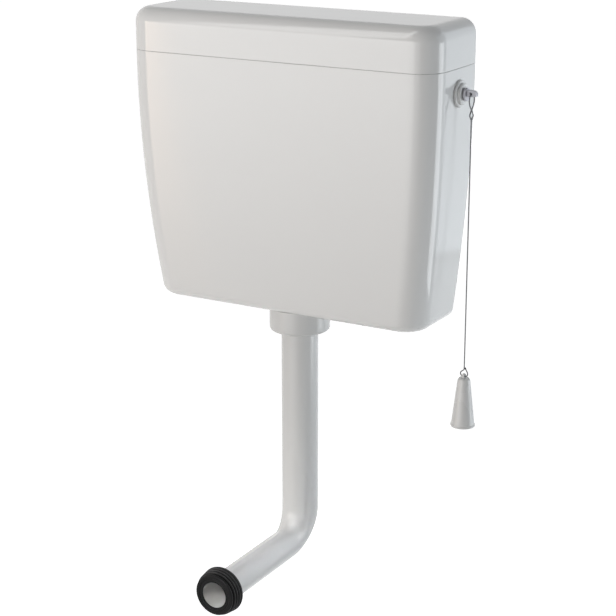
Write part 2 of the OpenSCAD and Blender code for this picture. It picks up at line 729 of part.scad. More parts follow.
module coupling_nut() color("white") at_outlet(0) rotate_extrude() {
    r = coupling_d / 2;
    cup_r = r - coupling_wall;
    cup_z = floor_z - back_nut_t - 2 * free_gap;
    hole_r = pipe_d / 2 + touch_gap;
    polygon(concat(
        [[hole_r, coupling_z0]],
        arc([r - coupling_edge_r, coupling_z0 + coupling_edge_r], coupling_edge_r, -90, 0, edge_steps),
        [[r, floor_z - seam_gap], [cup_r, floor_z - seam_gap], [cup_r, cup_z],
         [tail_d / 2 + thread_fit, cup_z], [tail_d / 2 + thread_fit, pipe_flange_z0], [hole_r, pipe_flange_z0]]
    ));
}

module pipe_washer() color("dimgray") at_outlet(pipe_top_z) ring(clamped_d, tail_bore, washer_t);

// One ring of the flush pipe: turned by an angle of the bend, then shifted straight on from there
function pipe_ring(a, r, shift) = [
    for (i = [0:pipe_sides - 1]) let (b = 360 * i / pipe_sides, reach = bend_r + r * cos(b))
    [r * sin(b), -axis_y - bend_r + reach * cos(a), leg_z + bend_r - reach * sin(a)] + shift
];

// Outer radius of the bend: it eases from the upright pipe at 0 degrees to the leg at 90
function bend_out_r(a) = (pipe_d + (leg_d - pipe_d) * (1 - cos(2 * a)) / 2) / 2;

module flush_pipe() color("white") {
    bend_top = leg_z + bend_r;
    to_top = [0, 0, pipe_top_z - bend_top];
    to_flange = [0, 0, pipe_flange_z0 - bend_top];
    to_end = [0, seal_y + seal_lip_t + axis_y + bend_r, 0];
    turns = [for (i = [0:bend_steps]) 90 * i / bend_steps];
    skin(concat(
        [pipe_ring(0, clamped_d / 2, to_top), pipe_ring(0, clamped_d / 2, to_flange)],
        [pipe_ring(0, pipe_d / 2, to_flange)],
        [for (a = turns) pipe_ring(a, bend_out_r(a), [0, 0, 0])],
        [pipe_ring(90, leg_d / 2, to_end), pipe_ring(90, leg_d / 2 - pipe_wall, to_end)],
        [for (a = turns) pipe_ring(90 - a, bend_out_r(90 - a) - pipe_wall, [0, 0, 0])],
        [pipe_ring(0, pipe_d / 2 - pipe_wall, to_top)]
    ), tube = true);
}

// Seal on the leg: the profile runs from the mouth outwards, over the fins and back inside
module pan_seal() color("black") translate([0, seal_y, leg_z]) rotate([-90, 0, 0]) rotate_extrude() {
    edge = 1;
    fin_t = 1.6;
    fin_lean = 0.8;
    first_fin = nose_len + fin_pitch / 2;
    fin_step = (fin_d - nose_d) / 2 / fin_count;
    end = first_fin + fin_pitch * (fin_count - 1) + fin_t + fin_lean + sleeve_tail;
    sleeve_r = sleeve_d / 2;
    polygon(concat(
        [[mouth_d / 2, 0], [nose_d / 2 - edge, 0], [nose_d / 2, edge]],
        [[nose_d / 2, nose_len], [sleeve_r, nose_len]],
        [for (i = [0:fin_count - 1]) let (s = first_fin + i * fin_pitch, r = nose_d / 2 + fin_step * (i + 1))
            each [[sleeve_r, s - fin_t / 2], [r - edge, s + fin_lean - fin_t / 4], [r, s + fin_lean],
                  [r - edge, s + fin_lean + fin_t / 2], [sleeve_r, s + fin_t]]],
        [[sleeve_r, end], [leg_d / 2 + touch_gap, end]],
        [[leg_d / 2 + touch_gap, seal_lip_t], [mouth_d / 2, seal_lip_t]]
    ));
}

module valve_cage() color("whitesmoke") at_outlet(seat_z1) {
    base_t = 4;
    top_t = 6;
    posts = 4;
    post_w = 12;
    disc_room = 4;
    rim_in = 1;
    inner_d = disc_d + 2 * disc_room;
    outer_d = seat_flange_d - 2 * rim_in;
    post_t = (outer_d - inner_d) / 2 - rim_in;
    ring(outer_d, inner_d, base_t);
    translate([0, 0, cage_h - top_t]) ring(outer_d, tube_d + 2 * free_gap, top_t);
    for (i = [0:posts - 1])
        rotate(45 + 360 * i / posts) translate([inner_d / 2, -post_w / 2, base_t - lap])
            cube([post_t, post_w, cage_h - base_t - top_t + 2 * lap]);
}

module overflow_tube() color("whitesmoke") at_outlet(0) difference() {
    flange_t = 3;
    shoulder_t = 4;
    shoulder_rim = 4;
    post_t = 3;
    post_w = 8;
    bar_cover = 1.5;
    union() {
        translate([0, 0, tube_z0]) cylinder(d = tube_d, h = tube_z1 - tube_z0);
        translate([0, 0, disc_z1]) cylinder(d = disc_d, h = flange_t);
        translate([0, 0, ring_float_z0 - shoulder_t]) cylinder(d = tube_d + 2 * shoulder_rim, h = shoulder_t);
        for (s = [-1, 1])
            translate([-post_w / 2, s * (tube_d - post_t) / 2 - post_t / 2, tube_z1 - post_w])
                cube([post_w, post_t, bar_z + bar_d / 2 + bar_cover - tube_z1 + post_w]);
        translate([0, tube_d / 2 - lap, bar_z]) to_front() cylinder(d = bar_d, h = tube_d - 2 * lap);
    }
    translate([0, 0, tube_z0 - lap]) cylinder(d = tube_d - 2 * tube_wall, h = tube_z1 - tube_z0 + lap);
}

module valve_seal() color("dimgray") at_outlet(disc_z0) ring(disc_d, tube_d + 2 * thread_fit, disc_t);

module seal_retainer() color("whitesmoke") at_outlet(tube_z0)
    ring(retainer_d, tube_d + 2 * thread_fit, retainer_h);

module valve_float() color("aliceblue") at_outlet(ring_float_z0) difference() {
    bore = tube_d + 2 * thread_fit;
    edge_r = 5;
    air_cup(ring_float_d, bore + 2 * float_wall, ring_float_h, edge_r, float_wall);
    translate([0, 0, -lap]) cylinder(d = bore, h = ring_float_h + 2 * lap);
}

module float_clip() color("whitesmoke") at_outlet(ring_float_z1) difference() {
    clip_t = 4;
    clip_rim = 5;
    opening = 24;
    ring(tube_d + 2 * clip_rim, tube_d + 2 * thread_fit, clip_t);
    translate([0, -opening / 2, -lap]) cube([tube_d, opening, clip_t + 2 * lap]);
}

// Link: a slotted head round the peg of the lever, a stem, and an eye round the bar of the tube
module lift_link() color("gainsboro") at_outlet(0) difference() {
    head_w = link_slot_out + link_slot_in + 2 * link_rim;
    head_h = peg_d + 2 * touch_gap + 2 * link_rim;
    stem_w = 8;
    eye_out = bar_d + 2 * link_rim;
    union() {
        translate([-link_slot_out - link_rim, -link_t / 2, lever_z - head_h / 2]) cube([head_w, link_t, head_h]);
        translate([-stem_w / 2, -link_t / 2, bar_z]) cube([stem_w, link_t, lever_z - head_h / 2 - bar_z + lap]);
        translate([0, 0, bar_z]) to_front() cylinder(d = eye_out, h = link_t, center = true);
    }
    translate([-link_slot_out, -link_t, lever_z - peg_d / 2 - touch_gap])
        cube([link_slot_out + link_slot_in, 2 * link_t, peg_d + 2 * touch_gap]);
    translate([0, 0, bar_z]) to_front() cylinder(d = bar_d + 2 * thread_fit, h = 2 * link_t, center = true);
}

module fill_body() color("whitesmoke") {
    difference() {
        union() {
            at_inlet(tail_u) cylinder(d = inlet_d, h = inlet_len - inlet_nut_t - free_gap);
            at_inlet(tail_u) cylinder(d = inlet_core_d, h = washer_t - tail_u + lap);
            at_inlet(washer_t) cylinder(d = inlet_flange_d, h = inlet_flange_t);
            difference() {
                union() {
                    at_inlet(barrel_u - lap) cylinder(d = barrel_d, h = barrel_len + lap);
                    translate([inlet_in_x + nozzle_u, -axis_y, inlet_z - barrel_d / 2 - stub_len])
                        cylinder(d = stub_d, h = barrel_d / 2 + stub_len);
                }
                at_inlet(chamber_u) cylinder(d = chamber_d, h = barrel_len);
            }
            at_inlet(chamber_u - lap) cylinder(d = nozzle_bore + 2 * nozzle_wall, h = nozzle_u - chamber_u + lap);
        }
        at_inlet(tail_u - lap) cylinder(d = inlet_bore, h = chamber_u - tail_u - 2 * lap);
        at_inlet(tail_u - lap) cylinder(d = inlet_mouth_d, h = inlet_mouth_t + lap);
        at_inlet(0) cylinder(d = nozzle_bore, h = nozzle_u + lap);
        translate([inlet_in_x + nozzle_u, -axis_y, inlet_z - barrel_d / 2 - stub_len - lap])
            cylinder(d = stub_bore, h = stub_len + (barrel_d - chamber_d) / 2 + 2 * lap);
    }
}

module inlet_washer() color("dimgray") at_inlet(0)
    ring(inlet_flange_d - 2 * washer_in, inlet_core_d + 2 * thread_fit, washer_t);

module inlet_nut() color("whitesmoke") translate([inlet_seat_x - inlet_nut_t, -axis_y, inlet_z]) along_x()
    hex_nut(inlet_nut_w, inlet_core_d + 2 * thread_fit, inlet_nut_t);

// Strainer: a flanged cup in the mouth of the inlet, with slots along its side
module inlet_strainer() color("lightgray")
    at_inlet(tail_u + inlet_mouth_t - strainer_flange_t) difference() {
    cup_wall = 1;
    cup_len = 16;
    slots = 6;
    slot_t = 1.5;
    slot_start = 4;
    slot_len = 9;
    cup_d = inlet_bore - 2 * thread_fit;
    union() {
        cylinder(d = inlet_mouth_d - 2 * free_gap, h = strainer_flange_t);
        cylinder(d = cup_d, h = cup_len);
    }
    translate([0, 0, -lap]) cylinder(d = cup_d - 2 * cup_wall, h = cup_len - cup_wall + lap);
    for (i = [0:slots - 1])
        rotate(360 * i / slots) translate([0, -slot_t / 2, slot_start]) cube([cup_d, slot_t, slot_len]);
}

// Cap: a skirt over the barrel, an end wall that guides the piston, and two ears for the float arm
module valve_cap() color("whitesmoke") {
    difference() {
        union() {
            at_inlet(cap_u - cap_skirt) cylinder(d = cap_d, h = cap_skirt + cap_end_t);
            for (s = [-1, 1])
                translate([0, s * (ear_gap + ear_t) / 2, 0]) {
                    translate([float_pivot_x, -axis_y, float_pivot_z]) to_front()
                        cylinder(r = ear_r, h = ear_t, center = true);
                    translate([inlet_in_x + cap_end_u - lap, -axis_y - ear_t / 2, float_pivot_z - ear_r])
                        cube([float_pivot_u - cap_end_u + lap, ear_t, 2 * ear_r]);
                }
        }
        at_inlet(cap_u - cap_skirt - lap) cylinder(d = barrel_d + 2 * thread_fit, h = cap_skirt + lap);
        at_inlet(cap_u - lap) cylinder(d = piston_stem_d + 2 * pin_fit, h = cap_end_t + 2 * lap);
        translate([float_pivot_x, -axis_y + ear_gap, float_pivot_z]) to_front()
            cylinder(d = float_pin_d + 2 * pin_fit, h = 2 * ear_gap);
    }
}

module valve_piston() color("gainsboro") at_inlet(piston_travel) difference() {
    nose_u = piston_tip_u - piston_stem_d / 2;
    union() {
        translate([0, 0, piston_u]) cylinder(d = piston_d, h = piston_head_len);
        translate([0, 0, piston_u]) cylinder(d = piston_stem_d, h = nose_u - piston_u);
        translate([0, 0, nose_u]) sphere(d = piston_stem_d);
    }
    translate([0, 0, piston_u - lap]) cylinder(d = piston_washer_d + 2 * thread_fit, h = piston_cup + lap);
}

module piston_washer() color("dimgray") at_inlet(piston_travel + washer_u)
    cylinder(d = piston_washer_d, h = piston_washer_t);

module quiet_tube() color("aliceblue") translate([inlet_in_x + nozzle_u, -axis_y, quiet_top_z - quiet_len])
    ring(quiet_d, quiet_d - 2 * quiet_wall, quiet_len);

// Float arm: a hub with the finger that pushes the piston, a sloping arm and an eye for the stem
module float_arm() color("gainsboro") at_float() difference() {
    hub_w = ear_gap - 2 * free_gap;
    hub_d = 10;
    arm_t = 8;
    arm_h = 7;
    finger_in = 1;
    finger_w = hub_w - 2 * finger_in;
    level_room = 3;
    level_x = float_arm_len - max(float_eye_d, stem_nut_d) / 2 - level_room;
    union() {
        to_front() cylinder(d = hub_d, h = hub_w, center = true);
        translate([-finger_t / 2, -finger_w / 2, 0]) cube([finger_t, finger_w, finger_rise + piston_stem_d]);
        to_front() linear_extrude(arm_t, center = true) polygon([
            [0, arm_h / 2], [0, -arm_h / 2], [level_x, -float_arm_fall - arm_h / 2],
            [float_arm_len, -float_arm_fall - arm_h / 2], [float_arm_len, -float_arm_fall + arm_h / 2],
            [level_x, -float_arm_fall + arm_h / 2]
        ]);
        translate([float_arm_len, 0, -float_arm_fall - float_eye_h / 2])
            cylinder(d = float_eye_d, h = float_eye_h);
    }
    to_front() cylinder(d = float_pin_d + 2 * pin_fit, h = 2 * hub_w, center = true);
    translate([float_arm_len, 0, -float_arm_fall - float_eye_h])
        cylinder(d = stem_d + 2 * thread_fit, h = 2 * float_eye_h);
}

module float_pin() color("silver") translate([float_pivot_x, -axis_y, float_pivot_z]) to_front()
    cylinder(d = float_pin_d, h = ear_gap + 2 * ear_t, center = true);

module float() color("aliceblue") at_float()
    translate([float_arm_len, 0, float_top - float_h]) difference() {
    boss_d = 14;
    boss_end_t = 3;
    boss_len = stem_in + boss_end_t;
    air_cup(float_d, boss_d, float_h, float_edge_r, float_wall);
    translate([0, 0, -lap]) cylinder(d = boss_d + lap, h = float_h - boss_len + lap);
    translate([0, 0, float_h - stem_in - touch_gap]) cylinder(d = stem_d + 2 * thread_fit, h = stem_in + lap);
}

module float_stem() color("silver") at_float() translate([float_arm_len, 0, float_top - stem_in])
    cylinder(d = stem_d, h = stem_in - float_top - float_arm_fall + stem_up);

module stem_nuts() color("whitesmoke") at_float()
    for (s = [0, 1])
        translate([float_arm_len, 0, -float_arm_fall - float_eye_h / 2 - thread_fit - stem_nut_t
            + s * (float_eye_h + stem_nut_t + 2 * thread_fit)])
            ring(stem_nut_d, stem_d + 2 * thread_fit, stem_nut_t);

tank();
lid();
lever_bush();
bush_nut();
lever_pin();
pull_lever();
cord_loop();
pull_cord();
pull_handle();
valve_seat();
outlet_washer();
outlet_back_nut();
coupling_nut();
pipe_washer();
flush_pipe();
pan_seal();
valve_cage();
overflow_tube();
valve_seal();
seal_retainer();
valve_float();
float_clip();
lift_link();
fill_body();
inlet_washer();
inlet_nut();
inlet_strainer();
valve_cap();
valve_piston();
piston_washer();
quiet_tube();
float_arm();
float_pin();
float();
float_stem();
stem_nuts();
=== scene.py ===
"""Looks of a wall-hung toilet cistern with a pull cord, built round its packed CAD frame.

Lengths are metres in the CAD frame: the origin lies between the wall-fixing holes on the flat back, +Z is up,
the front faces -Y and the lever is on the +X side. A drop is a distance below the rim of the tank.
"""

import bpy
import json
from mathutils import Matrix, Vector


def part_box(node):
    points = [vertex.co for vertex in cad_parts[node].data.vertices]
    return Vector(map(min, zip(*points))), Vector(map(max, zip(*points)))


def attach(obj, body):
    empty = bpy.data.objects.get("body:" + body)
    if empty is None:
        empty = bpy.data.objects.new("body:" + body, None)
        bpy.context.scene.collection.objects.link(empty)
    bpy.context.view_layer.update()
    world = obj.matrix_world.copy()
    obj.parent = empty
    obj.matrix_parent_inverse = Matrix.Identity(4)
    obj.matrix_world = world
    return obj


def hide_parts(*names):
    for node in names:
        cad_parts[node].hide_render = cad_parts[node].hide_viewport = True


bl_info = {
    "name": "Toilet cistern",
    "version": (1, 0, 0),
    "blender": (4, 5, 0),
    "location": "View3D > Sidebar > Cistern",
    "description": "Shells, flush bend, pull cord and finishes of a wall-hung toilet cistern",
    "category": "Object",
}

import json
import math

import bpy
import numpy as np
from mathutils import Vector

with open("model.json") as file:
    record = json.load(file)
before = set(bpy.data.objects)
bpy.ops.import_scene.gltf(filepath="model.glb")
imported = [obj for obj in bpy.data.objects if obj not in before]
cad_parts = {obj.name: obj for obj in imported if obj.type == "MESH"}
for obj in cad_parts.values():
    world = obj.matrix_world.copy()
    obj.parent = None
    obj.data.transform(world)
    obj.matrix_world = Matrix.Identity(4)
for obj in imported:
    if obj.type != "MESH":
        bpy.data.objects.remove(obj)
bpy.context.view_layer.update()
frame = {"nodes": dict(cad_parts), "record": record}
JOINTS = {joint["name"]: joint for joint in frame["record"]["behaviour"]["joints"]}
CORD_EYE = np.array(JOINTS["loop_hang"]["pos_m"])
MM = 0.001
MICRON = 0.001 * MM
TINY = 1e-9
WHITE = (1.0, 1.0, 1.0)
# Faces that meet at more than this angle get a sharp edge between them
SMOOTH_ANGLE = math.radians(32)


def low(node):
    """The lowest corner of a CAD node's box."""
    return np.array(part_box(node)[0], float)


def high(node):
    """The highest corner of a CAD node's box."""
    return np.array(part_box(node)[1], float)


def middle(node):
    """The middle of a CAD node's box."""
    return (low(node) + high(node)) / 2


def linear(hex_colour):
    """Linear RGB of an sRGB hex value, by the sRGB transfer curve."""
    c = np.array([int(hex_colour[i:i + 2], 16) for i in (1, 3, 5)]) / 255
    return tuple(float(x) for x in np.where(c <= 0.04045, c / 12.92, ((c + 0.055) / 1.055) ** 2.4))


def length(name, description, millimetres):
    """A length property with its default given in millimetres."""
    return bpy.props.FloatProperty(
        name=name, description=description, default=millimetres * MM, min=0, unit="LENGTH", precision=4)


def colour(name, description, hex_colour):
    """A colour property with its default given as an sRGB hex value."""
    return bpy.props.FloatVectorProperty(
        name=name, description=description, default=linear(hex_colour), subtype="COLOR", min=0, max=1)


def point(name, description, metres):
    """A place property with its default given in metres."""
    return bpy.props.FloatVectorProperty(
        name=name, description=description, default=metres, subtype="XYZ", unit="LENGTH")


def power(name, description, watts):
    """A property for the power of a light, with its default given in watts."""
    return bpy.props.FloatProperty(name=name, description=description, default=watts, min=0, unit="POWER")


class ShellSettings(bpy.types.PropertyGroup):
    """Sizes of the moulded tank and lid."""

    width: length("Width", "Width of the tank at its rim", 450)
    depth: length("Depth", "Depth of the tank at its rim", 123)
    height: length("Height", "Height of the tank from floor to rim", 336)
    side_draw: length("Side draw", "How far each side draws in at the floor", 24)
    front_draw: length("Front draw", "How far the front draws in at the floor", 18)
    wall: length("Wall", "Thickness of the moulded walls", 3)
    floor: length("Floor", "Thickness of the floor", 4)
    corner: length("Front corners", "Radius of the upright front corners", 35)
    back_corner: length("Back corners", "Radius of the upright back corners", 5)
    foot: length("Foot edge", "Radius of the edge round the floor", 12)
    back_foot: length("Back foot edge", "Radius of the edge between floor and back", 8)
    rim: length("Rim height", "Height of the rim above the fixing holes", 45)
    lid_height: length("Lid height", "Height of the lid above the rim", 56)
    lid_edge: length("Lid edge", "Radius of the top edge at front and sides", 20)
    lid_back_edge: length("Lid back edge", "Radius of the top edge at the back", 4)
    seam: length("Seam", "Gap between lid and tank", 0.3)
    bevel: length("Seam bevel", "Bevel along both edges of the seam", 0.35)
    skirt_drop: length("Skirt drop", "How far the skirt of the lid reaches into the tank", 8)
    skirt_band: length("Skirt band", "Height of the band that carries the skirt", 8)
    skirt: length("Skirt", "Thickness of the skirt", 2)
    clearance: length("Clearance", "Clearance of the skirt in the tank", 0.5)
    fixing_spacing: length("Fixing spacing", "Distance between the wall-fixing holes", 200)
    fixing_hole: length("Fixing hole", "Diameter of the wall-fixing holes", 9)
    tint: colour("Colour", "Colour of the moulded shells", "#E1E1E0")


class PipeSettings(bpy.types.PropertyGroup):
    """Sizes of the flush bend, its coupling nut and its pan seal."""

    upright: length("Upright", "Outer diameter of the upright pipe", 50)
    leg: length("Leg", "Outer diameter of the lower leg", 41)
    wall: length("Wall", "Wall of the pipe", 2.5)
    bend: length("Bend", "Radius of the bend on its centreline", 44)
    tint: colour("Pipe colour", "Colour of the pipe and its nut", "#D0D0CF")
    rubber: colour("Rubber colour", "Colour of the finned seal", "#09090A")


class PullSettings(bpy.types.PropertyGroup):
    """Sizes and colours of the lever's cord and handle."""

    cord: length("Cord", "Diameter of the cord", 1.6)
    handle_length: length("Handle", "Length of the handle without its eye", 66)
    handle_top: length("Handle top", "Diameter of the handle at its top", 16)
    handle_rim: length("Handle rim", "Diameter of the handle at its lower end", 31.5)
    cord_tint: colour("Cord colour", "Colour of the braided cord", "#77777A")
    lever_tint: colour("Lever colour", "Colour of the lever", "#D2D1D8")
    handle_tint: colour("Handle colour", "Colour of the handle", "#D2D2D1")


class StageSettings(bpy.types.PropertyGroup):
    """Camera and light of the studio."""

    lens: bpy.props.FloatProperty(
        name="Lens", description="Focal length on a 36 mm frame", default=97.98, unit="CAMERA")
    camera: point("Camera", "Place of the camera", (1.086955, -1.921751, 0.362139))
    target: point("Target", "Point that the camera looks at", (0.019046, -0.065730, -0.289473))
    floor: bpy.props.FloatProperty(
        name="Floor", description="Height of the floor", default=-2.4, unit="LENGTH")
    key: power("Key light", "Power of the softbox in front", 63)
    warm: power("Warm light", "Power of the warm panel on its left", 39)
    fill: power("Fill light", "Power of the weak panel on its right", 12)
    top: power("Top light", "Power of the long softbox overhead", 14)
    side: power("Side light", "Power of the softbox on the right", 125)
    low: power("Low light", "Power of the small softbox low on the right", 4.2)
    back: power("Back light", "Power of the softbox behind the object", 34)
    bend: power("Bend light", "Power of the gridded softbox on the flush bend", 0.19)
    ambient: bpy.props.FloatProperty(
        name="Ambient", description="Strength of the light that comes from all round", default=0.07, min=0)
    floor_tint: colour("Floor colour", "Colour of the pale floor", "#EFEFEE")


SETTINGS = {
    "cistern_shell": ShellSettings,
    "cistern_pipe": PipeSettings,
    "cistern_pull": PullSettings,
    "cistern_stage": StageSettings,
}


def ease(t):
    """Rise from 0 to 1 along half a cosine wave."""
    return (1 - np.cos(np.pi * t)) / 2


def outline(half_width, back, front, r_front, r_back):
    """Rounded rectangles seen from above, one row for each ring, counterclockwise from the right back corner.

    A corner is an arc round its own centre, and a side is a straight run between two arcs. The run has narrow
    steps at its ends, so that the shading of a rounding doesn't spread over the flat side."""
    run_steps, back_steps, front_steps = 25, 8, 28
    run = ease(np.linspace(0, 1, run_steps + 1))[None, 1:-1, None]
    corners = (
        (1, back, -1, r_back, 0, back_steps), (-1, back, -1, r_back, 90, back_steps),
        (-1, front, 1, r_front, 180, front_steps), (1, front, 1, r_front, 270, front_steps))
    arcs = []
    for side, edge, inward, r, start, steps in corners:
        a = np.radians(start + np.linspace(0, 90, steps + 1))[None]
        x = (side * (half_width - r))[:, None] + r[:, None] * np.cos(a)
        y = (edge + inward * r)[:, None] + r[:, None] * np.sin(a)
        arcs.append(np.stack([x, y], -1))
    parts = []
    for this, following in zip(arcs, arcs[1:] + arcs[:1]):
        parts += [this, this[:, -1:] * (1 - run) + following[:, :1] * run]
    return np.concatenate(parts, 1)


def shell_rings(s, z, inset, inset_back, share=0):
    """Rings of a moulded shell at heights z, each inside the skin by its insets.

    Sides and front draw in by a share of their draw at the floor. The corners' radii shrink with the insets,
    down to a least radius."""
    least, least_back = 2 * MM, 1 * MM
    plan = outline(
        s.width / 2 - s.side_draw * share - inset, -inset_back, -s.depth + s.front_draw * share + inset,
        np.maximum(s.corner - inset, least), np.maximum(s.back_corner - inset_back, least_back))
    return np.concatenate([plan, np.broadcast_to(z[:, None, None], (*plan.shape[:2], 1))], -1)


def mesh_of(name, points, faces, uv=None):
    """A smooth mesh object at the origin, sharp only where its faces meet steeply."""
    mesh = bpy.data.meshes.new(name)
    mesh.from_pydata(points, [], faces)
    if uv is not None:
        mesh.uv_layers.new(name="length").data.foreach_set("uv", np.asarray(uv, np.float32).ravel())
    shade(mesh)
    piece = bpy.data.objects.new(name, mesh)
    bpy.context.scene.collection.objects.link(piece)
    return piece


def shade(mesh):
    """Smooth shading with sharp edges where faces meet at more than the limit angle."""
    mesh.polygons.foreach_set("use_smooth", np.ones(len(mesh.polygons), bool))
    mesh.set_sharp_from_angle(angle=SMOOTH_ANGLE)
    mesh.update()


def skin(name, rings, tube=False, along=None):
    """A surface over rings of equal length: quads join each ring to the next, going round counterclockwise.

    The first and last rings are capped, or joined to each other where the rings run out and back through a
    tube. The UV map holds the distance along the rings, if it is given, and the share of a turn round them.
    """
    rings = np.asarray(rings, float)
    count, n = rings.shape[:2]
    i = np.arange(n)
    j = (i + 1) % n
    this = np.arange(count if tube else count - 1)
    following = (this + 1) % count
    a, b = (this * n)[:, None], (following * n)[:, None]
    faces = np.stack([a + i, a + j, b + j, b + i], -1).reshape(-1, 4).tolist()
    uv = None
    if along is not None:
        corners = np.stack([along[this], along[this], along[following], along[following]], -1)
        u = np.repeat(corners[:, None], n, 1)
        v = np.repeat((np.stack([i, i + 1, i + 1, i], -1) / n)[None], len(this), 0)
        uv = np.stack([u, v], -1).reshape(-1, 2)
    if not tube:
        faces += [i[::-1].tolist(), ((count - 1) * n + i).tolist()]
        if uv is not None:
            uv = np.concatenate([uv, np.zeros((2 * n, 2))])
    return mesh_of(name, rings.reshape(-1, 3), faces, uv)


def turned(name, profile, origin, axis="Z", steps=128, tube=True):
    """A profile of (radius, height) turned round an axis through origin.

    A point lies at radius times (cos a, sin a) round the axis and at its height along it. The profile goes up
    the axis outside and comes back inside."""
    profile = np.asarray(profile, float)
    a = np.linspace(0, 2 * np.pi, steps, endpoint=False)
    r, h = profile[:, :1], np.repeat(profile[:, 1:], steps, 1)
    c, s = r * np.cos(a), r * np.sin(a)
    order = {"Z": (c, s, h), "X": (h, c, s), "Y": (s, h, c)}[axis]
    return skin(name, np.stack(order, -1) + np.asarray(origin, float), tube)


def rounded(points, radii, steps=6):
    """A closed profile whose corners are rounded: at each corner, an arc touches both sides at a distance
    of radius over the tangent of half the corner's angle."""
    p, r = np.asarray(points, float), np.asarray(radii, float)[:, None]
    before, after = np.roll(p, 1, 0) - p, np.roll(p, -1, 0) - p
    d0 = before / np.linalg.norm(before, axis=1, keepdims=True)
    d1 = after / np.linalg.norm(after, axis=1, keepdims=True)
    half = np.arccos(np.clip((d0 * d1).sum(1), -1, 1))[:, None] / 2
    bisector = d0 + d1
    bisector /= np.maximum(np.linalg.norm(bisector, axis=1, keepdims=True), TINY)
    centre = p + bisector * r / np.sin(half)
    start, end = p + d0 * r / np.tan(half), p + d1 * r / np.tan(half)
    t = np.linspace(0, 1, steps + 1)[None, :, None]
    chord = (start - centre)[:, None] * (1 - t) + (end - centre)[:, None] * t
    size = np.linalg.norm(chord, axis=2, keepdims=True)
    fillets = centre[:, None] + np.where(size > TINY, chord / np.maximum(size, TINY), 0) * r[:, None]
    return np.concatenate([f[:1] if radius == 0 else f for f, radius in zip(fillets, radii)])


def smooth_path(points, steps):
    """A Catmull-Rom curve through the points: a cubic between each pair, whose slope at a point is half the
    distance between its neighbours."""
    p = np.asarray(points, float)
    q = np.concatenate([p[:1], p, p[-1:]])
    a, b, c, d = (q[i:len(q) - 3 + i, None] for i in range(4))
    t = np.linspace(0, 1, steps, endpoint=False)[None, :, None]
    square, cube = 2 * a - 5 * b + 4 * c - d, 3 * b - a - 3 * c + d
    curve = b + (c - a) * t / 2 + square * t ** 2 / 2 + cube * t ** 3 / 2
    return np.concatenate([curve.reshape(-1, 3), p[-1:]])


def tube_rings(path, radius, side, sides=16, closed=False):
    """Circles square to a path, and the distance along it. side is a direction that the path never follows.

    A circle is the path's point plus radius times (u cos a + v sin a), with u and v square to the path."""
    step = np.roll(path, -1, 0) - np.roll(path, 1, 0) if closed else np.gradient(path, axis=0)
    forward = step / np.linalg.norm(step, axis=1, keepdims=True)
    u = np.cross(forward, side)
    u /= np.linalg.norm(u, axis=1, keepdims=True)
    v = np.cross(forward, u)
    a = np.linspace(0, 2 * np.pi, sides, endpoint=False)[None, :, None]
    rings = path[:, None] + radius * (u[:, None] * np.cos(a) + v[:, None] * np.sin(a))
    along = np.concatenate([[0], np.cumsum(np.linalg.norm(np.diff(path, axis=0), axis=1))])
    return rings, along


def drill(piece, holes):
    """Cut round holes: each is (centre, axis, diameter, reach) of a rod that is taken out of the piece."""
    rods = []
    for centre, axis, diameter, reach in holes:
        profile = [(diameter / 2, -reach / 2), (diameter / 2, reach / 2)]
        rod = turned("rod", profile, centre, axis, steps=64, tube=False)
        cut = piece.modifiers.new("hole", "BOOLEAN")
        cut.operation, cut.solver, cut.object = "DIFFERENCE", "EXACT", rod
        rods.append(rod)
    replace_mesh(piece)
    for rod in rods:
        bpy.data.meshes.remove(rod.data)


def replace_mesh(piece):
    """Put what the modifiers give into the mesh itself."""
    evaluated = piece.evaluated_get(bpy.context.evaluated_depsgraph_get())
    made, old = bpy.data.meshes.new_from_object(evaluated), piece.data
    piece.modifiers.clear()
    piece.data = made
    bpy.data.meshes.remove(old)
    shade(made)


def joined(name, pieces):
    """One object from several, named for the whole."""
    with bpy.context.temp_override(active_object=pieces[0], selected_editable_objects=pieces):
        bpy.ops.object.join()
    pieces[0].name = pieces[0].data.name = name
    return pieces[0]


def settle(piece, body, material, slot, *nodes):
    """Give a piece its finish, let it ride on its body and stand for its CAD nodes."""
    piece.data.materials.clear()
    piece.data.materials.append(material)
    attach(piece, body)
    if nodes:
        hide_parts(*nodes)


def add(tree, kind, settings, **links):
    """Add a node, set its own values and its inputs, and link other nodes' outputs to its inputs.

    An input goes by its name, with _ for a space, or by its number, which a link writes after a _."""
    node = tree.nodes.new(kind)
    for key, value in settings.items():
        if isinstance(key, int) or key in node.inputs:
            node.inputs[key].default_value = value
        else:
            setattr(node, key, value)
    for key, source in links.items():
        tree.links.new(source, node.inputs[int(key[1:]) if key[0] == "_" else key.replace("_", " ")])
    return node


def new_material(name):
    """An empty node material with its output, returned as (material, tree, output)."""
    material = bpy.data.materials.new(name)
    material.use_nodes = True
    tree = material.node_tree
    tree.nodes.clear()
    return material, tree, add(tree, "ShaderNodeOutputMaterial", {})


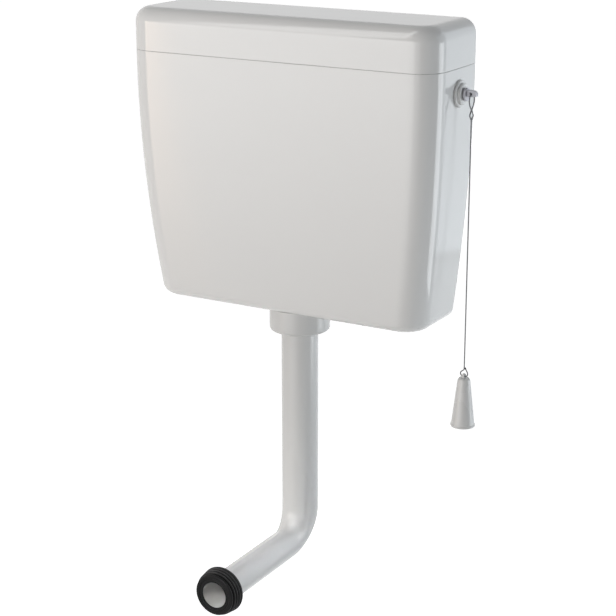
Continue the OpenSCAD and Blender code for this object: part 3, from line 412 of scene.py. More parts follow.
def moulded(name, tint, roughness, ior, peel, height, shift=0.02, spread=0.25, specular=0.5):
    """A moulded plastic or rubber. The eye sees slow drifts of tone over the piece, drifts of gloss where the
    mould was polished by hand, and a faint waviness of the skin that ruffles reflections.

    peel is the length of that waviness in millimetres and height its height in microns. shift is the share of
    tone that drifts over the piece, and spread the share of roughness."""
    tone_drift, gloss_drift = 120 * MM, 35 * MM
    material, tree, output = new_material(name)
    place = add(tree, "ShaderNodeTexCoord", {}).outputs["Object"]
    slow = add(tree, "ShaderNodeTexNoise", {"Scale": 1 / tone_drift, "Detail": 2.0}, Vector=place)
    gloss = add(tree, "ShaderNodeTexNoise", {"Scale": 1 / gloss_drift, "Detail": 4.0}, Vector=place)
    skin_wave = add(tree, "ShaderNodeTexNoise", {"Scale": 1 / (peel * MM), "Detail": 1.5}, Vector=place)
    dark = [c * (1 - shift) for c in tint] + [1]
    light = [min(1, c * (1 + shift)) for c in tint] + [1]
    tone = add(tree, "ShaderNodeMix", {"data_type": "RGBA", 6: dark, 7: light}, _0=slow.outputs["Fac"])
    # Nearly all of the noise lies between 0.3 and 0.7
    rough = add(tree, "ShaderNodeMapRange", {
        "From Min": 0.3, "From Max": 0.7,
        "To Min": roughness * (1 - spread), "To Max": roughness * (1 + spread)}, Value=gloss.outputs["Fac"])
    bump = add(tree, "ShaderNodeBump", {"Strength": 1.0, "Distance": height * MICRON},
               Height=skin_wave.outputs["Fac"])
    shader = add(tree, "ShaderNodeBsdfPrincipled", {"IOR": ior, "Specular IOR Level": specular},
                 Base_Color=tone.outputs[2], Roughness=rough.outputs[0], Normal=bump.outputs[0])
    tree.links.new(shader.outputs[0], output.inputs["Surface"])
    return material


def rubber_with_painted_crown_highlight(name, crown_highlight_grey, axis, start, end, **values):
    """A moulded rubber painted paler towards its rim as a highlight: a second colour comes in with the
    distance from a line along Y through axis, between the radii start and end in millimetres.

    The crowns of the fins get a painted highlight in a paler grey, and the grooves keep the plain black."""
    material = moulded(name, **values)
    tree = material.node_tree
    shader = next(node for node in tree.nodes if node.type == "BSDF_PRINCIPLED")
    plain = shader.inputs["Base Color"].links[0].from_socket
    place = add(tree, "ShaderNodeTexCoord", {}).outputs["Object"]
    near = add(tree, "ShaderNodeMapping", {"vector_type": "TEXTURE", "Location": axis}, Vector=place)
    across = add(tree, "ShaderNodeVectorMath", {"operation": "MULTIPLY", 1: (1, 0, 1)}, _0=near.outputs[0])
    radius = add(tree, "ShaderNodeVectorMath", {"operation": "LENGTH"}, _0=across.outputs[0])
    # Painted highlight: the colour turns from the plain black to the paler grey towards the crowns of the
    # fins
    share = add(tree, "ShaderNodeMapRange", {"From Min": start * MM, "From Max": end * MM},
                Value=radius.outputs["Value"])
    crown_highlight_mix = add(tree, "ShaderNodeMix", {"data_type": "RGBA", 7: (*crown_highlight_grey, 1)}, _0=share.outputs[0], _6=plain)
    tree.links.new(crown_highlight_mix.outputs[2], shader.inputs["Base Color"])
    return material


def drawn_metal(name, tint, roughness, line, axis):
    """Drawn or rolled metal. The eye sees fine lines along the draw and bright, slightly streaked highlights.

    line is the spacing of the lines in millimetres, drawn coarser than the real one so that it shows."""
    streak_length, streak_height, spread = 20 * MM, 20 * MICRON, 0.4
    material, tree, output = new_material(name)
    place = add(tree, "ShaderNodeTexCoord", {}).outputs["Object"]
    stretch = [1 / (line * MM)] * 3
    stretch["XYZ".index(axis)] = 1 / streak_length
    lines = add(tree, "ShaderNodeMapping", {"Scale": stretch}, Vector=place)
    streak = add(tree, "ShaderNodeTexNoise", {"Scale": 1.0, "Detail": 3.0}, Vector=lines.outputs[0])
    rough = add(tree, "ShaderNodeMapRange", {
        "To Min": roughness * (1 - spread), "To Max": roughness * (1 + spread)}, Value=streak.outputs["Fac"])
    bump = add(tree, "ShaderNodeBump", {"Strength": 0.4, "Distance": streak_height},
               Height=streak.outputs["Fac"])
    shader = add(tree, "ShaderNodeBsdfPrincipled", {"Base Color": (*tint, 1), "Metallic": 1.0},
                 Roughness=rough.outputs[0], Normal=bump.outputs[0])
    tree.links.new(shader.outputs[0], output.inputs["Surface"])
    return material


def braided(name, tint, diameter):
    """Braided polyester cord. The eye sees two sets of strands that cross on the slant, and the soft sheen of
    the fibres. The colour is painted darker in the gaps between the strands as shade.

    The strands follow the cord's own UV map. Their spacing goes with the diameter of the cord, and is drawn
    coarser than the real one so that it shows."""
    strand_length, strands_round, band_scale, painted_gap_shade = 2 * diameter, 4.0, 2 * math.pi / 20, 0.45
    material, tree, output = new_material(name)
    uv = add(tree, "ShaderNodeUVMap", {"uv_map": "length"}).outputs[0]
    strands = []
    for turn in (1, -1):
        scale = (1 / strand_length, strands_round * turn, 1)
        slant = add(tree, "ShaderNodeMapping", {"Scale": scale}, Vector=uv)
        strands.append(add(tree, "ShaderNodeTexWave", {
            "wave_type": "BANDS", "bands_direction": "DIAGONAL", "Scale": band_scale, "Distortion": 0.4},
            Vector=slant.outputs[0]).outputs["Fac"])
    crown_bump_and_gap_shade = add(tree, "ShaderNodeMath", {"operation": "MAXIMUM"}, _0=strands[0], _1=strands[1])
    # Painted shade: the colour darkens to this share of the tint in the gaps between the strands
    dark = [c * painted_gap_shade for c in tint] + [1]
    tone = add(tree, "ShaderNodeMix", {"data_type": "RGBA", 6: dark, 7: (*tint, 1)}, _0=crown_bump_and_gap_shade.outputs[0])
    bump = add(tree, "ShaderNodeBump", {"Strength": 0.7, "Distance": diameter / 8}, Height=crown_bump_and_gap_shade.outputs[0])
    shader = add(tree, "ShaderNodeBsdfPrincipled", {"Roughness": 0.55, "Sheen Weight": 0.25, "IOR": 1.5},
                 Base_Color=tone.outputs[2], Normal=bump.outputs[0])
    tree.links.new(shader.outputs[0], output.inputs["Surface"])
    return material


# The pan seal is turned round a line along Y through this point
SEAL_AXIS = middle("pan_seal")


def finish(key):
    """The material of one finish, made the first time that it is asked for."""
    scene = bpy.context.scene
    shell, pipe, pull = scene.cistern_shell, scene.cistern_pipe, scene.cistern_pull
    name, make, values = {
        # ABS, injection moulded in a polished tool: a clear gloss with a slight waviness
        "shell": ("ABS_gloss_white", moulded, dict(
            tint=shell.tint, roughness=0.09, ior=1.53, peel=14, height=10, shift=0.012)),
        # PVC, extruded and bent warm: satin, with slow drifts along the pipe
        "pipe": ("PVC_extruded_white", moulded, dict(
            tint=pipe.tint, roughness=0.22, ior=1.53, peel=16, height=8, spread=0.12)),
        # EPDM rubber, compression moulded: matt black with a soft grazing shine, and a painted highlight that
        # greys the crowns of the fins
        "rubber": ("EPDM_rubber_moulded", rubber_with_painted_crown_highlight, dict(
            tint=pipe.rubber, roughness=0.42, ior=1.5, peel=1.2, height=30, shift=0.2, specular=0.12,
            # The paler grey is a painted highlight on the crowns of the fins, from radius start to end
            crown_highlight_grey=linear("#3A3A3B"), axis=SEAL_AXIS, start=27.6, end=30.6)),
        # Acetal, moulded: satin and slightly waxy
        "lever": ("acetal_moulded_grey", moulded, dict(
            tint=pull.lever_tint, roughness=0.34, ior=1.48, peel=2.5, height=20)),
        # ABS, moulded in a plain tool and worn by hands: half gloss
        "handle": ("ABS_handle_white", moulded, dict(
            tint=pull.handle_tint, roughness=0.26, ior=1.53, peel=6, height=10)),
        # ABS, moulded in a plain tool: half gloss, a little duller than the shells
        "bush": ("ABS_bush_white", moulded, dict(
            tint=shell.tint, roughness=0.22, ior=1.53, peel=4, height=20)),
        # Polypropylene, moulded in sparked tools: dull, with a fine grain
        "valve": ("polypropylene_white", moulded, dict(
            tint=linear("#DADBDA"), roughness=0.42, ior=1.49, peel=0.8, height=20, shift=0.03)),
        # Acetal, moulded without a dye: pale grey and satin
        "link": ("acetal_moulded_pale", moulded, dict(
            tint=linear("#C6CACD"), roughness=0.38, ior=1.48, peel=1.2, height=20, shift=0.03)),
        # Polyethylene, moulded: milky and soft in its highlights
        "float": ("polyethylene_milky", moulded, dict(
            tint=linear("#D5DDE2"), roughness=0.48, ior=1.51, peel=6, height=60, shift=0.03)),
        # Nylon, moulded as a fine mesh: greyish and dull
        "strainer": ("nylon_strainer", moulded, dict(
            tint=linear("#C2C4C4"), roughness=0.5, ior=1.52, peel=0.6, height=20, shift=0.04)),
        # Nitrile rubber, punched from a sheet: dark grey and dusty
        "washer": ("nitrile_washer", moulded, dict(
            tint=linear("#3A3B3D"), roughness=0.55, ior=1.5, peel=0.7, height=30, shift=0.15)),
        # Stainless steel, drawn to a pin: cool and bright, with lines along it
        "steel": ("stainless_drawn", drawn_metal, dict(
            tint=linear("#C9C9C6"), roughness=0.28, line=0.3, axis="Y")),
        # Brass with a rolled thread: warm yellow, with lines along it
        "brass": ("brass_rolled", drawn_metal, dict(
            tint=linear("#D8B46A"), roughness=0.3, line=0.4, axis="Z")),
        # Polyester, braided: slanting strands with a soft sheen
        "cord": ("polyester_braid", braided, dict(tint=pull.cord_tint, diameter=pull.cord)),
    }[key]
    return bpy.data.materials.get(name) or make(name, **values)


class PieceOperator:
    """What the operators of the cistern share."""

    bl_options = {"REGISTER", "UNDO"}

    def execute(self, context):
        self.build(context.scene)
        return {"FINISHED"}


class CISTERN_OT_stage(PieceOperator, bpy.types.Operator):
    """Set up the camera, the softboxes, the pale floor and the light all round"""

    bl_idname = "cistern.stage"
    bl_label = "Studio"

    WARM, COOL, PALE_COOL = (1.0, 0.82, 0.68), (0.85, 0.93, 1.0), (0.95, 0.98, 1.0)
    # Upright panels side by side in front of the object: name, setting, left and right edge in x, tint
    PANELS = (
        ("warm_panel", "warm", (-2.7, -1.9), WARM),
        ("key_softbox", "key", (-1.9, 0.25), WHITE),
        ("fill_panel", "fill", (0.25, 1.2), WHITE),
    )
    # Where the panels stand in y, and their lower and upper edge
    PANEL_Y, PANEL_LOW, PANEL_HIGH = -2.6, -2.2, 0.45
    # Other softboxes: name, setting, place, size, point that it faces, tint and spread in degrees
    BOXES = (
        ("top_softbox", "top", (-0.78, -1.35, 1.66), (0.55, 3.0), (0, -0.06, 0.1), WHITE, 180),
        ("side_softbox", "side", (4.21, 3.54, 0.75), (6.6, 6.2), (0, 0, 0.75), COOL, 180),
        ("low_softbox", "low", (1.2, 0.4, -0.4), (0.5, 0.8), (0.2, -0.06, -0.35), PALE_COOL, 180),
        ("back_softbox", "back", (-0.8, 2.8, -0.55), (2.4, 1.2), (0, 0, -0.45), WHITE, 180),
        ("bend_softbox", "bend", (0.3, -1.5, 0.6), (0.3, 0.3), (0, -0.2, -0.67), WHITE, 14),
    )
    # The floor reaches past the horizon of every view, and adds this share of white to the eye
    FLOOR_REACH, FLOOR_LIFT = 40, 0.96

    def build(self, scene):
        s = scene.cistern_stage
        scene.view_settings.view_transform = "Standard"
        camera = bpy.data.objects.new("camera", bpy.data.cameras.new("camera"))
        scene.collection.objects.link(camera)
        camera.data.lens, camera.data.sensor_width, camera.data.clip_end = s.lens, 36, 50
        camera.location = s.camera
        camera.rotation_euler = self.facing(s.camera, s.target)
        scene.camera = camera
        for name, setting, across, tint in self.PANELS:
            self.panel(scene, name, getattr(s, setting), across, tint)
        for name, setting, place, size, aim, tint, spread in self.BOXES:
            light = self.softbox(scene, name, getattr(s, setting), place, size, aim, tint)
            light.spread = math.radians(spread)
        self.floor(s)
        self.surround(scene, s)

    def facing(self, place, aim):
        """The turn that points a camera or a light at something."""
        return (Vector(aim) - Vector(place)).to_track_quat("-Z", "Y").to_euler()

    def panel(self, scene, name, watts, across, tint):
        """One of the upright panels, weaker towards its lower edge, as a softbox lit from its top is."""
        x, z = sum(across) / 2, (self.PANEL_LOW + self.PANEL_HIGH) / 2
        size = (across[1] - across[0], self.PANEL_HIGH - self.PANEL_LOW)
        light = self.softbox(scene, name, watts, (x, self.PANEL_Y, z), size, (x, 0, z), tint)
        light.use_nodes = True
        tree = light.node_tree
        tree.nodes.clear()
        output = add(tree, "ShaderNodeOutputLight", {})
        spot = add(tree, "ShaderNodeNewGeometry", {}).outputs["Parametric"]
        up = add(tree, "ShaderNodeSeparateXYZ", {}, Vector=spot).outputs["Y"]
        level = add(tree, "ShaderNodeMapRange", {"interpolation_type": "SMOOTHSTEP"}, Value=up)
        glow = add(tree, "ShaderNodeEmission", {"Color": (*WHITE, 1)}, Strength=level.outputs[0])
        tree.links.new(glow.outputs[0], output.inputs["Surface"])

    def softbox(self, scene, name, watts, place, size, aim, tint):
        """A rectangular light that faces a point."""
        light = bpy.data.lights.new(name, "AREA")
        light.shape, light.size, light.size_y, light.energy, light.color = "RECTANGLE", *size, watts, tint
        box = bpy.data.objects.new(name, light)
        box.location = place
        box.rotation_euler = self.facing(place, aim)
        scene.collection.objects.link(box)
        return light

    def seen(self, tree):
        """1 where the camera, a mirror image or a clear piece looks at the background."""
        path = add(tree, "ShaderNodeLightPath", {})
        first = add(tree, "ShaderNodeMath", {"operation": "MAXIMUM"},
                    _0=path.outputs["Is Camera Ray"], _1=path.outputs["Is Glossy Ray"])
        return add(tree, "ShaderNodeMath", {"operation": "MAXIMUM"},
                   _0=first.outputs[0], _1=path.outputs["Is Transmission Ray"]).outputs[0]

    def floor(self, s):
        """A wide pale sheet that is white to the eye and keeps the shadow."""
        reach = self.FLOOR_REACH
        corners = ((-reach, -reach), (reach, -reach), (reach, reach), (-reach, reach))
        floor = mesh_of("floor", [(x, y, s.floor) for x, y in corners], [(0, 1, 2, 3)])
        material, tree, output = new_material("painted_floor")
        matt = add(tree, "ShaderNodeBsdfDiffuse", {"Color": (*s.floor_tint, 1)})
        lift = add(tree, "ShaderNodeMath", {"operation": "MULTIPLY", 1: self.FLOOR_LIFT}, _0=self.seen(tree))
        glow = add(tree, "ShaderNodeEmission", {"Color": (*WHITE, 1)}, Strength=lift.outputs[0])
        both = add(tree, "ShaderNodeAddShader", {}, _0=matt.outputs[0], _1=glow.outputs[0])
        tree.links.new(both.outputs[0], output.inputs["Surface"])
        floor.data.materials.append(material)

    def surround(self, scene, s):
        """White to the eye, and an even faint light on the object."""
        scene.world = bpy.data.worlds.new("surround")
        scene.world.use_nodes = True
        tree = scene.world.node_tree
        tree.nodes.clear()
        output = add(tree, "ShaderNodeOutputWorld", {})
        level = add(tree, "ShaderNodeMapRange", {"To Min": s.ambient, "To Max": 1.0}, Value=self.seen(tree))
        sky = add(tree, "ShaderNodeBackground", {"Color": (*WHITE, 1)}, Strength=level.outputs[0])
        tree.links.new(sky.outputs[0], output.inputs["Surface"])


class CISTERN_OT_cords(PieceOperator, bpy.types.Operator):
    """Make the loop in the lever's eye, the pull cord and their knots"""

    bl_idname = "cistern.cords"
    bl_label = "Pull cord"

    # Routes in millimetres from the cord eye of the lever. The eye of the handle hangs this far below it
    HANG = 366
    KNOT = (0, 0, -31.5)
    HANDLE_KNOT = (1, 0, 10 - HANG)
    # From the knot up to the eye. The way down is the same, turned half round
    HALF_LOOP = [
        (0, 1.1, -31), (1.2, 2.3, -28), (1.2, 1.4, -25), (0.9, -1.3, -21), (0.3, -5, -15.8), (0, -7.2, -10),
        (0, -6.9, -4.8), (0, -5.1, -1.3), (0, -2.5, -0.3),
    ]
    LOOP = [*HALF_LOOP, (0, 0, -0.2), *((-x, -y, z) for x, y, z in reversed(HALF_LOOP))]
    # From the eye of the handle
    HANDLE_LOOP = [
        (0, 0, 17), (0, 0, 13), (-0.25, 0, 8.6), (-1.75, 0, 6.9), (-4.2, 0, 5.14), (-5.05, 0, 3.41),
        (-4.85, 0, 1.49), (-3.56, 0, -0.1), (-1.6, 0, -0.7), (0, 0, -0.7), (1.6, 0, -0.7), (3.56, 0, -0.1),
        (4.85, 0, 1.49), (5.05, 0, 3.41), (4.4, 0, 5), (3.2, 0, 7.1), (2.1, 0, 9),
    ]
    # Heights of the points of the straight cord between the knots
    STRAIGHT = np.linspace(KNOT[2], 21 - HANG, 10)
    # Where the loop leaves the lever, below the eye
    LEVER_SIDE = CORD_EYE - (0, 0, 4 * MM)

    def build(self, scene):
        diameter = scene.cistern_pull.cord
        loop, along, path = self.strand("cord_loop_braid", self.LOOP, (1, 0, 0), diameter)
        settle(loop, "loop", finish("cord"), "cord_fibre", "cord_loop")
        route = [(0, 0, z) for z in self.STRAIGHT] + [(x, y, z - self.HANG) for x, y, z in self.HANDLE_LOOP]
        cord, along, path = self.strand("pull_cord_braid", route, (0, 1, 0), diameter)
        settle(cord, "pull", finish("cord"), "cord_fibre", "pull_cord")
        for name, at in (("loop_knot", self.KNOT), ("handle_knot", self.HANDLE_KNOT)):
            knot = self.knot(name, CORD_EYE + np.array(at) * MM, diameter)
            settle(knot, "pull", finish("cord"), "cord_fibre")

    def strand(self, name, route, side, diameter):
        """A round tube along the smooth curve through a route, with the distance along it and its path."""
        path = smooth_path(CORD_EYE + np.array(route, float) * MM, 10)
        rings, along = tube_rings(path, diameter / 2, side)
        return skin(name, rings, along=along), along, path

    def knot(self, name, at, diameter):
        """An overhand knot pulled tight: a tube along a three-leaf torus knot.

        Its path goes twice round and three times through: at reach r = size (ring + swing cos 3t), the point
        (r cos 2t, r sin 2t, size rise sin 3t)."""
        size, strand = 0.42 * diameter, 0.34 * diameter
        ring, swing, rise = 1.15, 0.75, 0.95
        t = np.linspace(0, 2 * np.pi, 96, endpoint=False)
        reach = size * (ring + swing * np.cos(3 * t))
        path = np.stack([reach * np.cos(2 * t), reach * np.sin(2 * t), rise * size * np.sin(3 * t)], -1) + at
        rings, along = tube_rings(path, strand, (0, 0, 1), sides=12, closed=True)
        return skin(name, rings, tube=True, along=along)


class CISTERN_OT_tank(PieceOperator, bpy.types.Operator):
    """Make the drawn-in tank with its rim, pads, bosses and holes"""

    bl_idname = "cistern.tank"
    bl_label = "Tank"

    # How far the pads under the bush and the inlet nut stand out of the walls
    PROUD = 0.4 * MM
    # Diameters in millimetres: holes of bush, inlet and outlet, recess for the valve seat, and the two pads
    LEVER_BORE, INLET_BORE, OUTLET_BORE, SEAT_RECESS, LEVER_PAD, INLET_PAD = 25, 19.7, 59.5, 87.5, 32.5, 37
    # How deep the holes and the recess are cut
    DEEP_CUT, SEAT_CUT = 20 * MM, 6.5 * MM
    # Two rings on the flat underside, this far inside its round edge
    UNDERSIDE = np.array([6, 1]) * MM

    def rings(self, s, drop, *insets):
        """Rings of the tank at drops below the rim: sides and front draw in with the square of the drop."""
        return shell_rings(s, s.rim - drop, *insets, share=(drop / s.height) ** 2)

    def build(self, scene):
        s = scene.cistern_shell
        edges = (s.foot, s.back_foot)
        quarter = np.radians(np.linspace(90, 0, 15))
        rise = np.linspace(s.height - s.foot, s.bevel, 60)[1:]
        outside = self.rings(
            s, np.concatenate([[s.height] * 2, s.height - s.foot * (1 - np.sin(quarter)), rise, [0]]),
            *(np.concatenate([edge + self.UNDERSIDE, edge * (1 - np.cos(quarter)), 0 * rise, [s.bevel]])
              for edge in edges))
        inner = s.foot - s.wall
        deep = s.height - s.floor - inner
        fall = np.linspace(0, deep, 40)
        up = np.radians(np.linspace(0, 90, 9))[1:]
        inside = self.rings(
            s, np.concatenate([fall, deep + inner * np.sin(up)]),
            *(np.concatenate([s.wall + 0 * fall, s.wall + (edge - s.wall) * (1 - np.cos(up))])
              for edge in edges))
        tank = skin("tank_shell", np.concatenate([outside, inside]))
        lever = np.array(JOINTS["lever_rock"]["pos_m"])
        outlet, inlet = middle("valve_seat"), middle("inlet_nut")
        outlet[2], inlet[0], lever[0] = low("outlet_washer")[2], high("inlet_nut")[0], high("bush_nut")[0]
        fixings = [(side * s.fixing_spacing / 2, 0, 0) for side in (-1, 1)]
        drill(tank, [
            *((place, "Y", s.fixing_hole, self.DEEP_CUT) for place in fixings),
            (lever, "X", self.LEVER_BORE * MM, self.DEEP_CUT),
            (inlet, "X", self.INLET_BORE * MM, self.DEEP_CUT),
            (outlet, "Z", self.OUTLET_BORE * MM, self.DEEP_CUT),
            (outlet + (0, 0, self.SEAT_CUT / 2), "Z", self.SEAT_RECESS * MM, self.SEAT_CUT),
        ])
        lever[0] += s.wall + 2 * self.PROUD
        details = [self.boss(s, x) for x, _, _ in fixings]
        details += [self.pad("lever_pad", lever, self.LEVER_PAD, self.LEVER_BORE, 1),
                    self.pad("inlet_pad", inlet, self.INLET_PAD, self.INLET_BORE, -1)]
        settle(joined("tank_shell", [tank, *details]), "cistern", finish("shell"), "shell_plastic", "tank")

    def boss(self, s, x):
        """A ring round a fixing hole on the inside of the back, with a rounded outer edge."""
        r, hole, height, sunk = 11 * MM, s.fixing_hole / 2, 5 * MM, 0.2 * MM
        profile = rounded([(hole, -height), (r, -height), (r, sunk), (hole, sunk)], [0.4 * MM, 1 * MM, 0, 0])
        return turned("fixing_boss", profile, (x, -s.wall, 0), "Y", 64)

    def pad(self, name, seat, diameter, bore, side):
        """A low round pad on a side wall, just proud of the draw of the wall."""
        r, hole, thick, edge = diameter / 2, bore / 2, 0.8, 0.25
        profile = rounded([(hole, -thick), (r, -thick), (r, 0), (hole, 0)], [0, 0, edge, 0]) * (1, side)
        return turned(name, profile[::side] * MM, seat, "X", 96)


class CISTERN_OT_lid(PieceOperator, bpy.types.Operator):
    """Make the lid with its rounded top edge and its locating skirt"""

    bl_idname = "cistern.lid"
    bl_label = "Lid"

    # Two rings on the flat top, this far inside its round edge
    TOP = np.array([1, 8]) * MM

    def build(self, scene):
        s = scene.cistern_shell
        out = s.wall + s.clearance
        r = s.lid_edge - s.wall
        ceiling = s.lid_height - s.wall
        down = np.radians(np.linspace(90, 0, 10))
        skirt = [s.wall, out + s.skirt, out + s.skirt]
        skirt_rise = [s.skirt_band + s.skirt, s.skirt_band, -s.skirt_drop]
        inside = shell_rings(
            s, s.rim + np.concatenate([ceiling - r * (1 - np.sin(down)), skirt_rise]),
            np.concatenate([s.wall + r * (1 - np.cos(down)), skirt]),
            np.concatenate([s.wall + 0 * down, skirt]))
        up = np.radians(np.linspace(0, 90, 19))[1:]
        wall = np.linspace(s.seam + s.bevel, s.lid_height - s.lid_edge, 8)
        edge_rise = s.lid_height - s.lid_edge * (1 - np.sin(up))
        outside = shell_rings(
            s, s.rim + np.concatenate([[-s.skirt_drop, s.seam, s.seam], wall, edge_rise, [s.lid_height] * 2]),
            *(np.concatenate([[out, out, s.bevel], 0 * wall, edge * (1 - np.cos(up)), edge + self.TOP])
              for edge in (s.lid_edge, s.lid_back_edge)))
        lid = skin("lid_shell", np.concatenate([inside, outside]))
        settle(lid, "lid", finish("shell"), "shell_plastic", "lid")


class CISTERN_OT_flush_bend(PieceOperator, bpy.types.Operator):
    """Make the flush bend, the coupling nut and the finned pan seal"""

    bl_idname = "cistern.flush_bend"
    bl_label = "Flush bend"

    LEG_Z = SEAL_AXIS[2]
    FRONT = low("pan_seal")[1]
    UPRIGHT = middle("coupling_nut")
    TOP = high("flush_pipe")[2]
    # Thickness of the seal's lip in front of the end of the pipe
    LIP = 1.5 * MM
    # Radius and thickness of the flange on top of the pipe
    FLANGE_R, FLANGE = 28.75 * MM, 3 * MM

    def build(self, scene):
        pipe = self.pipe(scene.cistern_pipe)
        settle(pipe, "cistern", finish("pipe"), "pipe_plastic", "flush_pipe")
        settle(self.nut(), "cistern", finish("pipe"), "pipe_plastic", "coupling_nut")
        settle(self.seal(), "cistern", finish("rubber"), "seal_rubber", "pan_seal")

    def pipe(self, s):
        """The bend: rings square to a quarter circle, each shifted straight on above or in front of it.

        The outer radius eases from the upright pipe to the leg along the bend, and the inner one follows.
        """
        turns = np.radians(np.linspace(0, 90, 41))
        bend_r = (s.upright + (s.leg - s.upright) * ease(2 * turns / np.pi)) / 2
        top = self.TOP - self.LEG_Z - s.bend
        end = self.FRONT + self.LIP - (self.UPRIGHT[1] - s.bend)
        up = np.linspace(top - self.FLANGE, 0, 12)[:-1]
        on = np.linspace(0, end, 12)[1:]
        a = np.concatenate([[0, 0], 0 * up, turns, 0 * on + np.pi / 2])
        r = np.concatenate([[self.FLANGE_R] * 2, 0 * up + s.upright / 2, bend_r, 0 * on + s.leg / 2])
        dz = np.concatenate([[top, top - self.FLANGE], up, 0 * turns, 0 * on])
        dy = np.concatenate([[0, 0], 0 * up, 0 * turns, on])
        inner = slice(None, 1, -1)
        a, dz, dy = (np.concatenate([q, q[inner], q[:1]]) for q in (a, dz, dy))
        r = np.concatenate([r, r[inner] - s.wall, [s.upright / 2 - s.wall]])
        b = np.linspace(0, 2 * np.pi, 96, endpoint=False)[None]
        reach = s.bend + r[:, None] * np.cos(b)
        x = r[:, None] * np.sin(b)
        y = self.UPRIGHT[1] - s.bend + reach * np.cos(a)[:, None] + dy[:, None]
        z = self.LEG_Z + s.bend - reach * np.sin(a)[:, None] + dz[:, None]
        return skin("flush_bend", np.stack([x, y, z], -1), tube=True)

    def nut(self):
        """The coupling nut: a smooth cup with a round lower edge, open above round the tail.

        The profile in millimetres has the bore for the pipe, the room for its flange and the wide mouth."""
        tall = (high("coupling_nut") - low("coupling_nut"))[2] / MM
        bore, flange, mouth, outer, foot, cup = 25.3, 29.35, 38, 41, 4, tall - 8.6
        profile = rounded(
            [(bore, 0), (outer, 0), (outer, tall), (mouth, tall), (mouth, cup), (flange, cup), (flange, foot),
             (bore, foot)],
            [0.5, 5, 0.6, 0.6, 0.5, 0.3, 0, 0.3], 10)
        origin = (*self.UPRIGHT[:2], low("coupling_nut")[2])
        return turned("coupling_cup", profile * MM, origin, "Z", 144)

    def seal(self):
        """The pan seal, turned round the leg: a lip in front of the pipe, a nose, leaning fins and a sleeve.

        The profile is in millimetres behind the front. A shallow ring runs round the face. Each fin is larger
        than the one before it, and leans back, since its tip lies behind the middle of its root."""
        mouth, leg, sleeve, nose, nose_end, lip = 17.5, 20.8, 24, 27.9, 3.5, self.LIP / MM
        face, ring, ring_in, ring_out, slope = 0.4, 0.9, 21.6, 22.6, 0.6
        fins, pitch, least, growth, root, tip, tail = 4, 4.6, 1.2, 2.4, (-0.8, 1.6), (0.1, 1.3), 9.4
        points = [(mouth, face), (ring_in - slope, face), (ring_in, ring), (ring_out, ring),
                  (ring_out + slope, 0), (nose, 0), (nose, nose_end), (sleeve, nose_end)]
        radii = [0.4, 0.3, 0.3, 0.3, 0.3, 1.7, 1.0, 0.3]
        for i in range(fins):
            at, r = nose_end + pitch / 2 + i * pitch, nose + least + growth * (i + 1) / fins
            points += [(sleeve, at + root[0]), (r, at + tip[0]), (r, at + tip[1]), (sleeve, at + root[1])]
            radii += [0.2, 0.45, 0.45, 0.2]
        points += [(sleeve, at + tail), (leg, at + tail), (leg, lip), (mouth, lip)]
        radii += [0.6, 0.3, 0.2, 0.5]
        return turned("finned_seal", rounded(points, radii) * MM, (0, self.FRONT, self.LEG_Z), "Y")


class CISTERN_OT_pull(PieceOperator, bpy.types.Operator):
    """Make the handle of the pull cord"""

    bl_idname = "cistern.pull"
    bl_label = "Handle"

    def build(self, scene):
        s = scene.cistern_pull
        top = np.array([*CORD_EYE[:2], low("pull_handle")[2] + s.handle_length])
        handle = joined("pull_grip", [self.cone(s, top), self.lug(top)])
        settle(handle, "pull", finish("handle"), "handle_plastic", "pull_handle")

    def cone(self, s, top):
        """The handle: a hollow cone with a domed top and a low rolled band round its lower end.

        The profile is in millimetres below the top, and its radius grows evenly with the depth."""
        size, r_top, r_end = s.handle_length / MM, s.handle_top / MM / 2, s.handle_rim / MM / 2
        wall, ceiling, band, proud, core = 2, 6, 3, 0.4, 0.4
        r_ceiling, r_band = (r_top + (r_end - r_top) * depth / size for depth in (ceiling, size - band))
        profile = rounded([
            (core, -ceiling), (r_ceiling - wall, -ceiling), (r_end - wall, -size), (r_end + proud, -size),
            (r_end + proud, band - size), (r_band, band - size), (r_top, 0), (core, 0)],
            [0, 2, 0.5, 0.9, 0.35, 0.2, 3, 0], 8)
        return turned("cone", profile * MM, top, "Z", 96, tube=False)

    def lug(self, top):
        """The eye on top: a flat plate round a hole, straight sides below and a half circle above.

        In millimetres, the edge lies where a ray from the hole meets the half circle, a side or the foot."""
        hole, half, foot, thick, rise, soft = 1.8, 3.5, -4.0, 1.5, 2.5, 0.4
        a = np.linspace(0, 2 * np.pi, 96, endpoint=False)
        u, v = np.cos(a), np.sin(a)
        to_side, to_foot = half / np.maximum(np.abs(u), TINY), foot / np.minimum(v, -TINY)
        edge = np.where(v >= 0, half, np.minimum(to_side, to_foot))
        steps = [
            (hole, soft - thick), (hole + soft, -thick), (edge - soft, -thick), (edge, soft - thick),
            (edge, thick - soft), (edge - soft, thick), (hole + soft, thick), (hole, thick - soft)]
        rings = np.array([np.stack([x + 0 * a, reach * u, reach * v + rise], -1) for reach, x in steps])
        return skin("lug", rings * MM + top, tube=True)


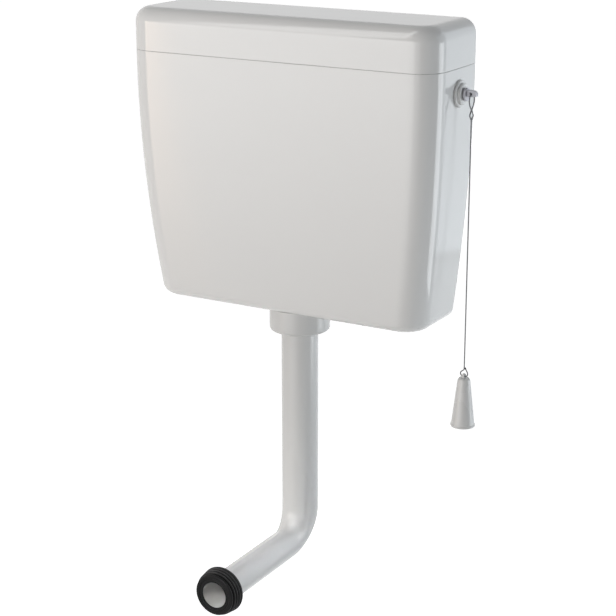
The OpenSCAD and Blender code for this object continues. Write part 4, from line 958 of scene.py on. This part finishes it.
class CISTERN_OT_fittings(PieceOperator, bpy.types.Operator):
    """Finish the lever, its bush, the flush valve and the fill valve"""

    bl_idname = "cistern.fittings"
    bl_label = "Fittings"

    NODES = {
        "bush": ["lever_bush", "bush_nut"],
        "lever": ["pull_lever"],
        "valve": ["valve_seat", "outlet_back_nut", "valve_cage", "overflow_tube", "seal_retainer",
                  "float_clip", "fill_body", "inlet_nut", "valve_cap"],
        "link": ["lift_link", "float_arm", "valve_piston", "stem_nuts"],
        "float": ["valve_float", "float", "quiet_tube"],
        "strainer": ["inlet_strainer"],
        "washer": ["outlet_washer", "pipe_washer", "valve_seal", "inlet_washer", "piston_washer"],
        "steel": ["lever_pin", "float_pin"],
        "brass": ["float_stem"],
    }

    def build(self, scene):
        for key, nodes in self.NODES.items():
            for node in nodes:
                slots = frame["nodes"][node].data.materials
                slots.clear()
                slots.append(finish(key))


class CISTERN_PT_panel(bpy.types.Panel):
    """The pieces of the cistern and their sizes"""

    bl_idname = "CISTERN_PT_panel"
    bl_label = "Toilet cistern"
    bl_space_type = "VIEW_3D"
    bl_region_type = "UI"
    bl_category = "Cistern"

    def draw(self, context):
        for operator in OPERATORS:
            self.layout.operator(operator.bl_idname)
        for name, group in SETTINGS.items():
            box = self.layout.box()
            box.label(text=group.__doc__)
            for key in group.__annotations__:
                box.prop(getattr(context.scene, name), key)


OPERATORS = (
    CISTERN_OT_stage, CISTERN_OT_cords, CISTERN_OT_tank, CISTERN_OT_lid, CISTERN_OT_flush_bend,
    CISTERN_OT_pull, CISTERN_OT_fittings,
)
CLASSES = (*SETTINGS.values(), *OPERATORS, CISTERN_PT_panel)


def register():
    for item in CLASSES:
        bpy.utils.register_class(item)
    for name, group in SETTINGS.items():
        setattr(bpy.types.Scene, name, bpy.props.PointerProperty(type=group))


def unregister():
    for name in SETTINGS:
        delattr(bpy.types.Scene, name)
    for item in reversed(CLASSES):
        bpy.utils.unregister_class(item)


def main():
    """Register the classes and make every piece."""
    register()
    for operator in OPERATORS:
        group, name = operator.bl_idname.split(".")
        getattr(getattr(bpy.ops, group), name)()


if __name__ == "__main__":
    main()
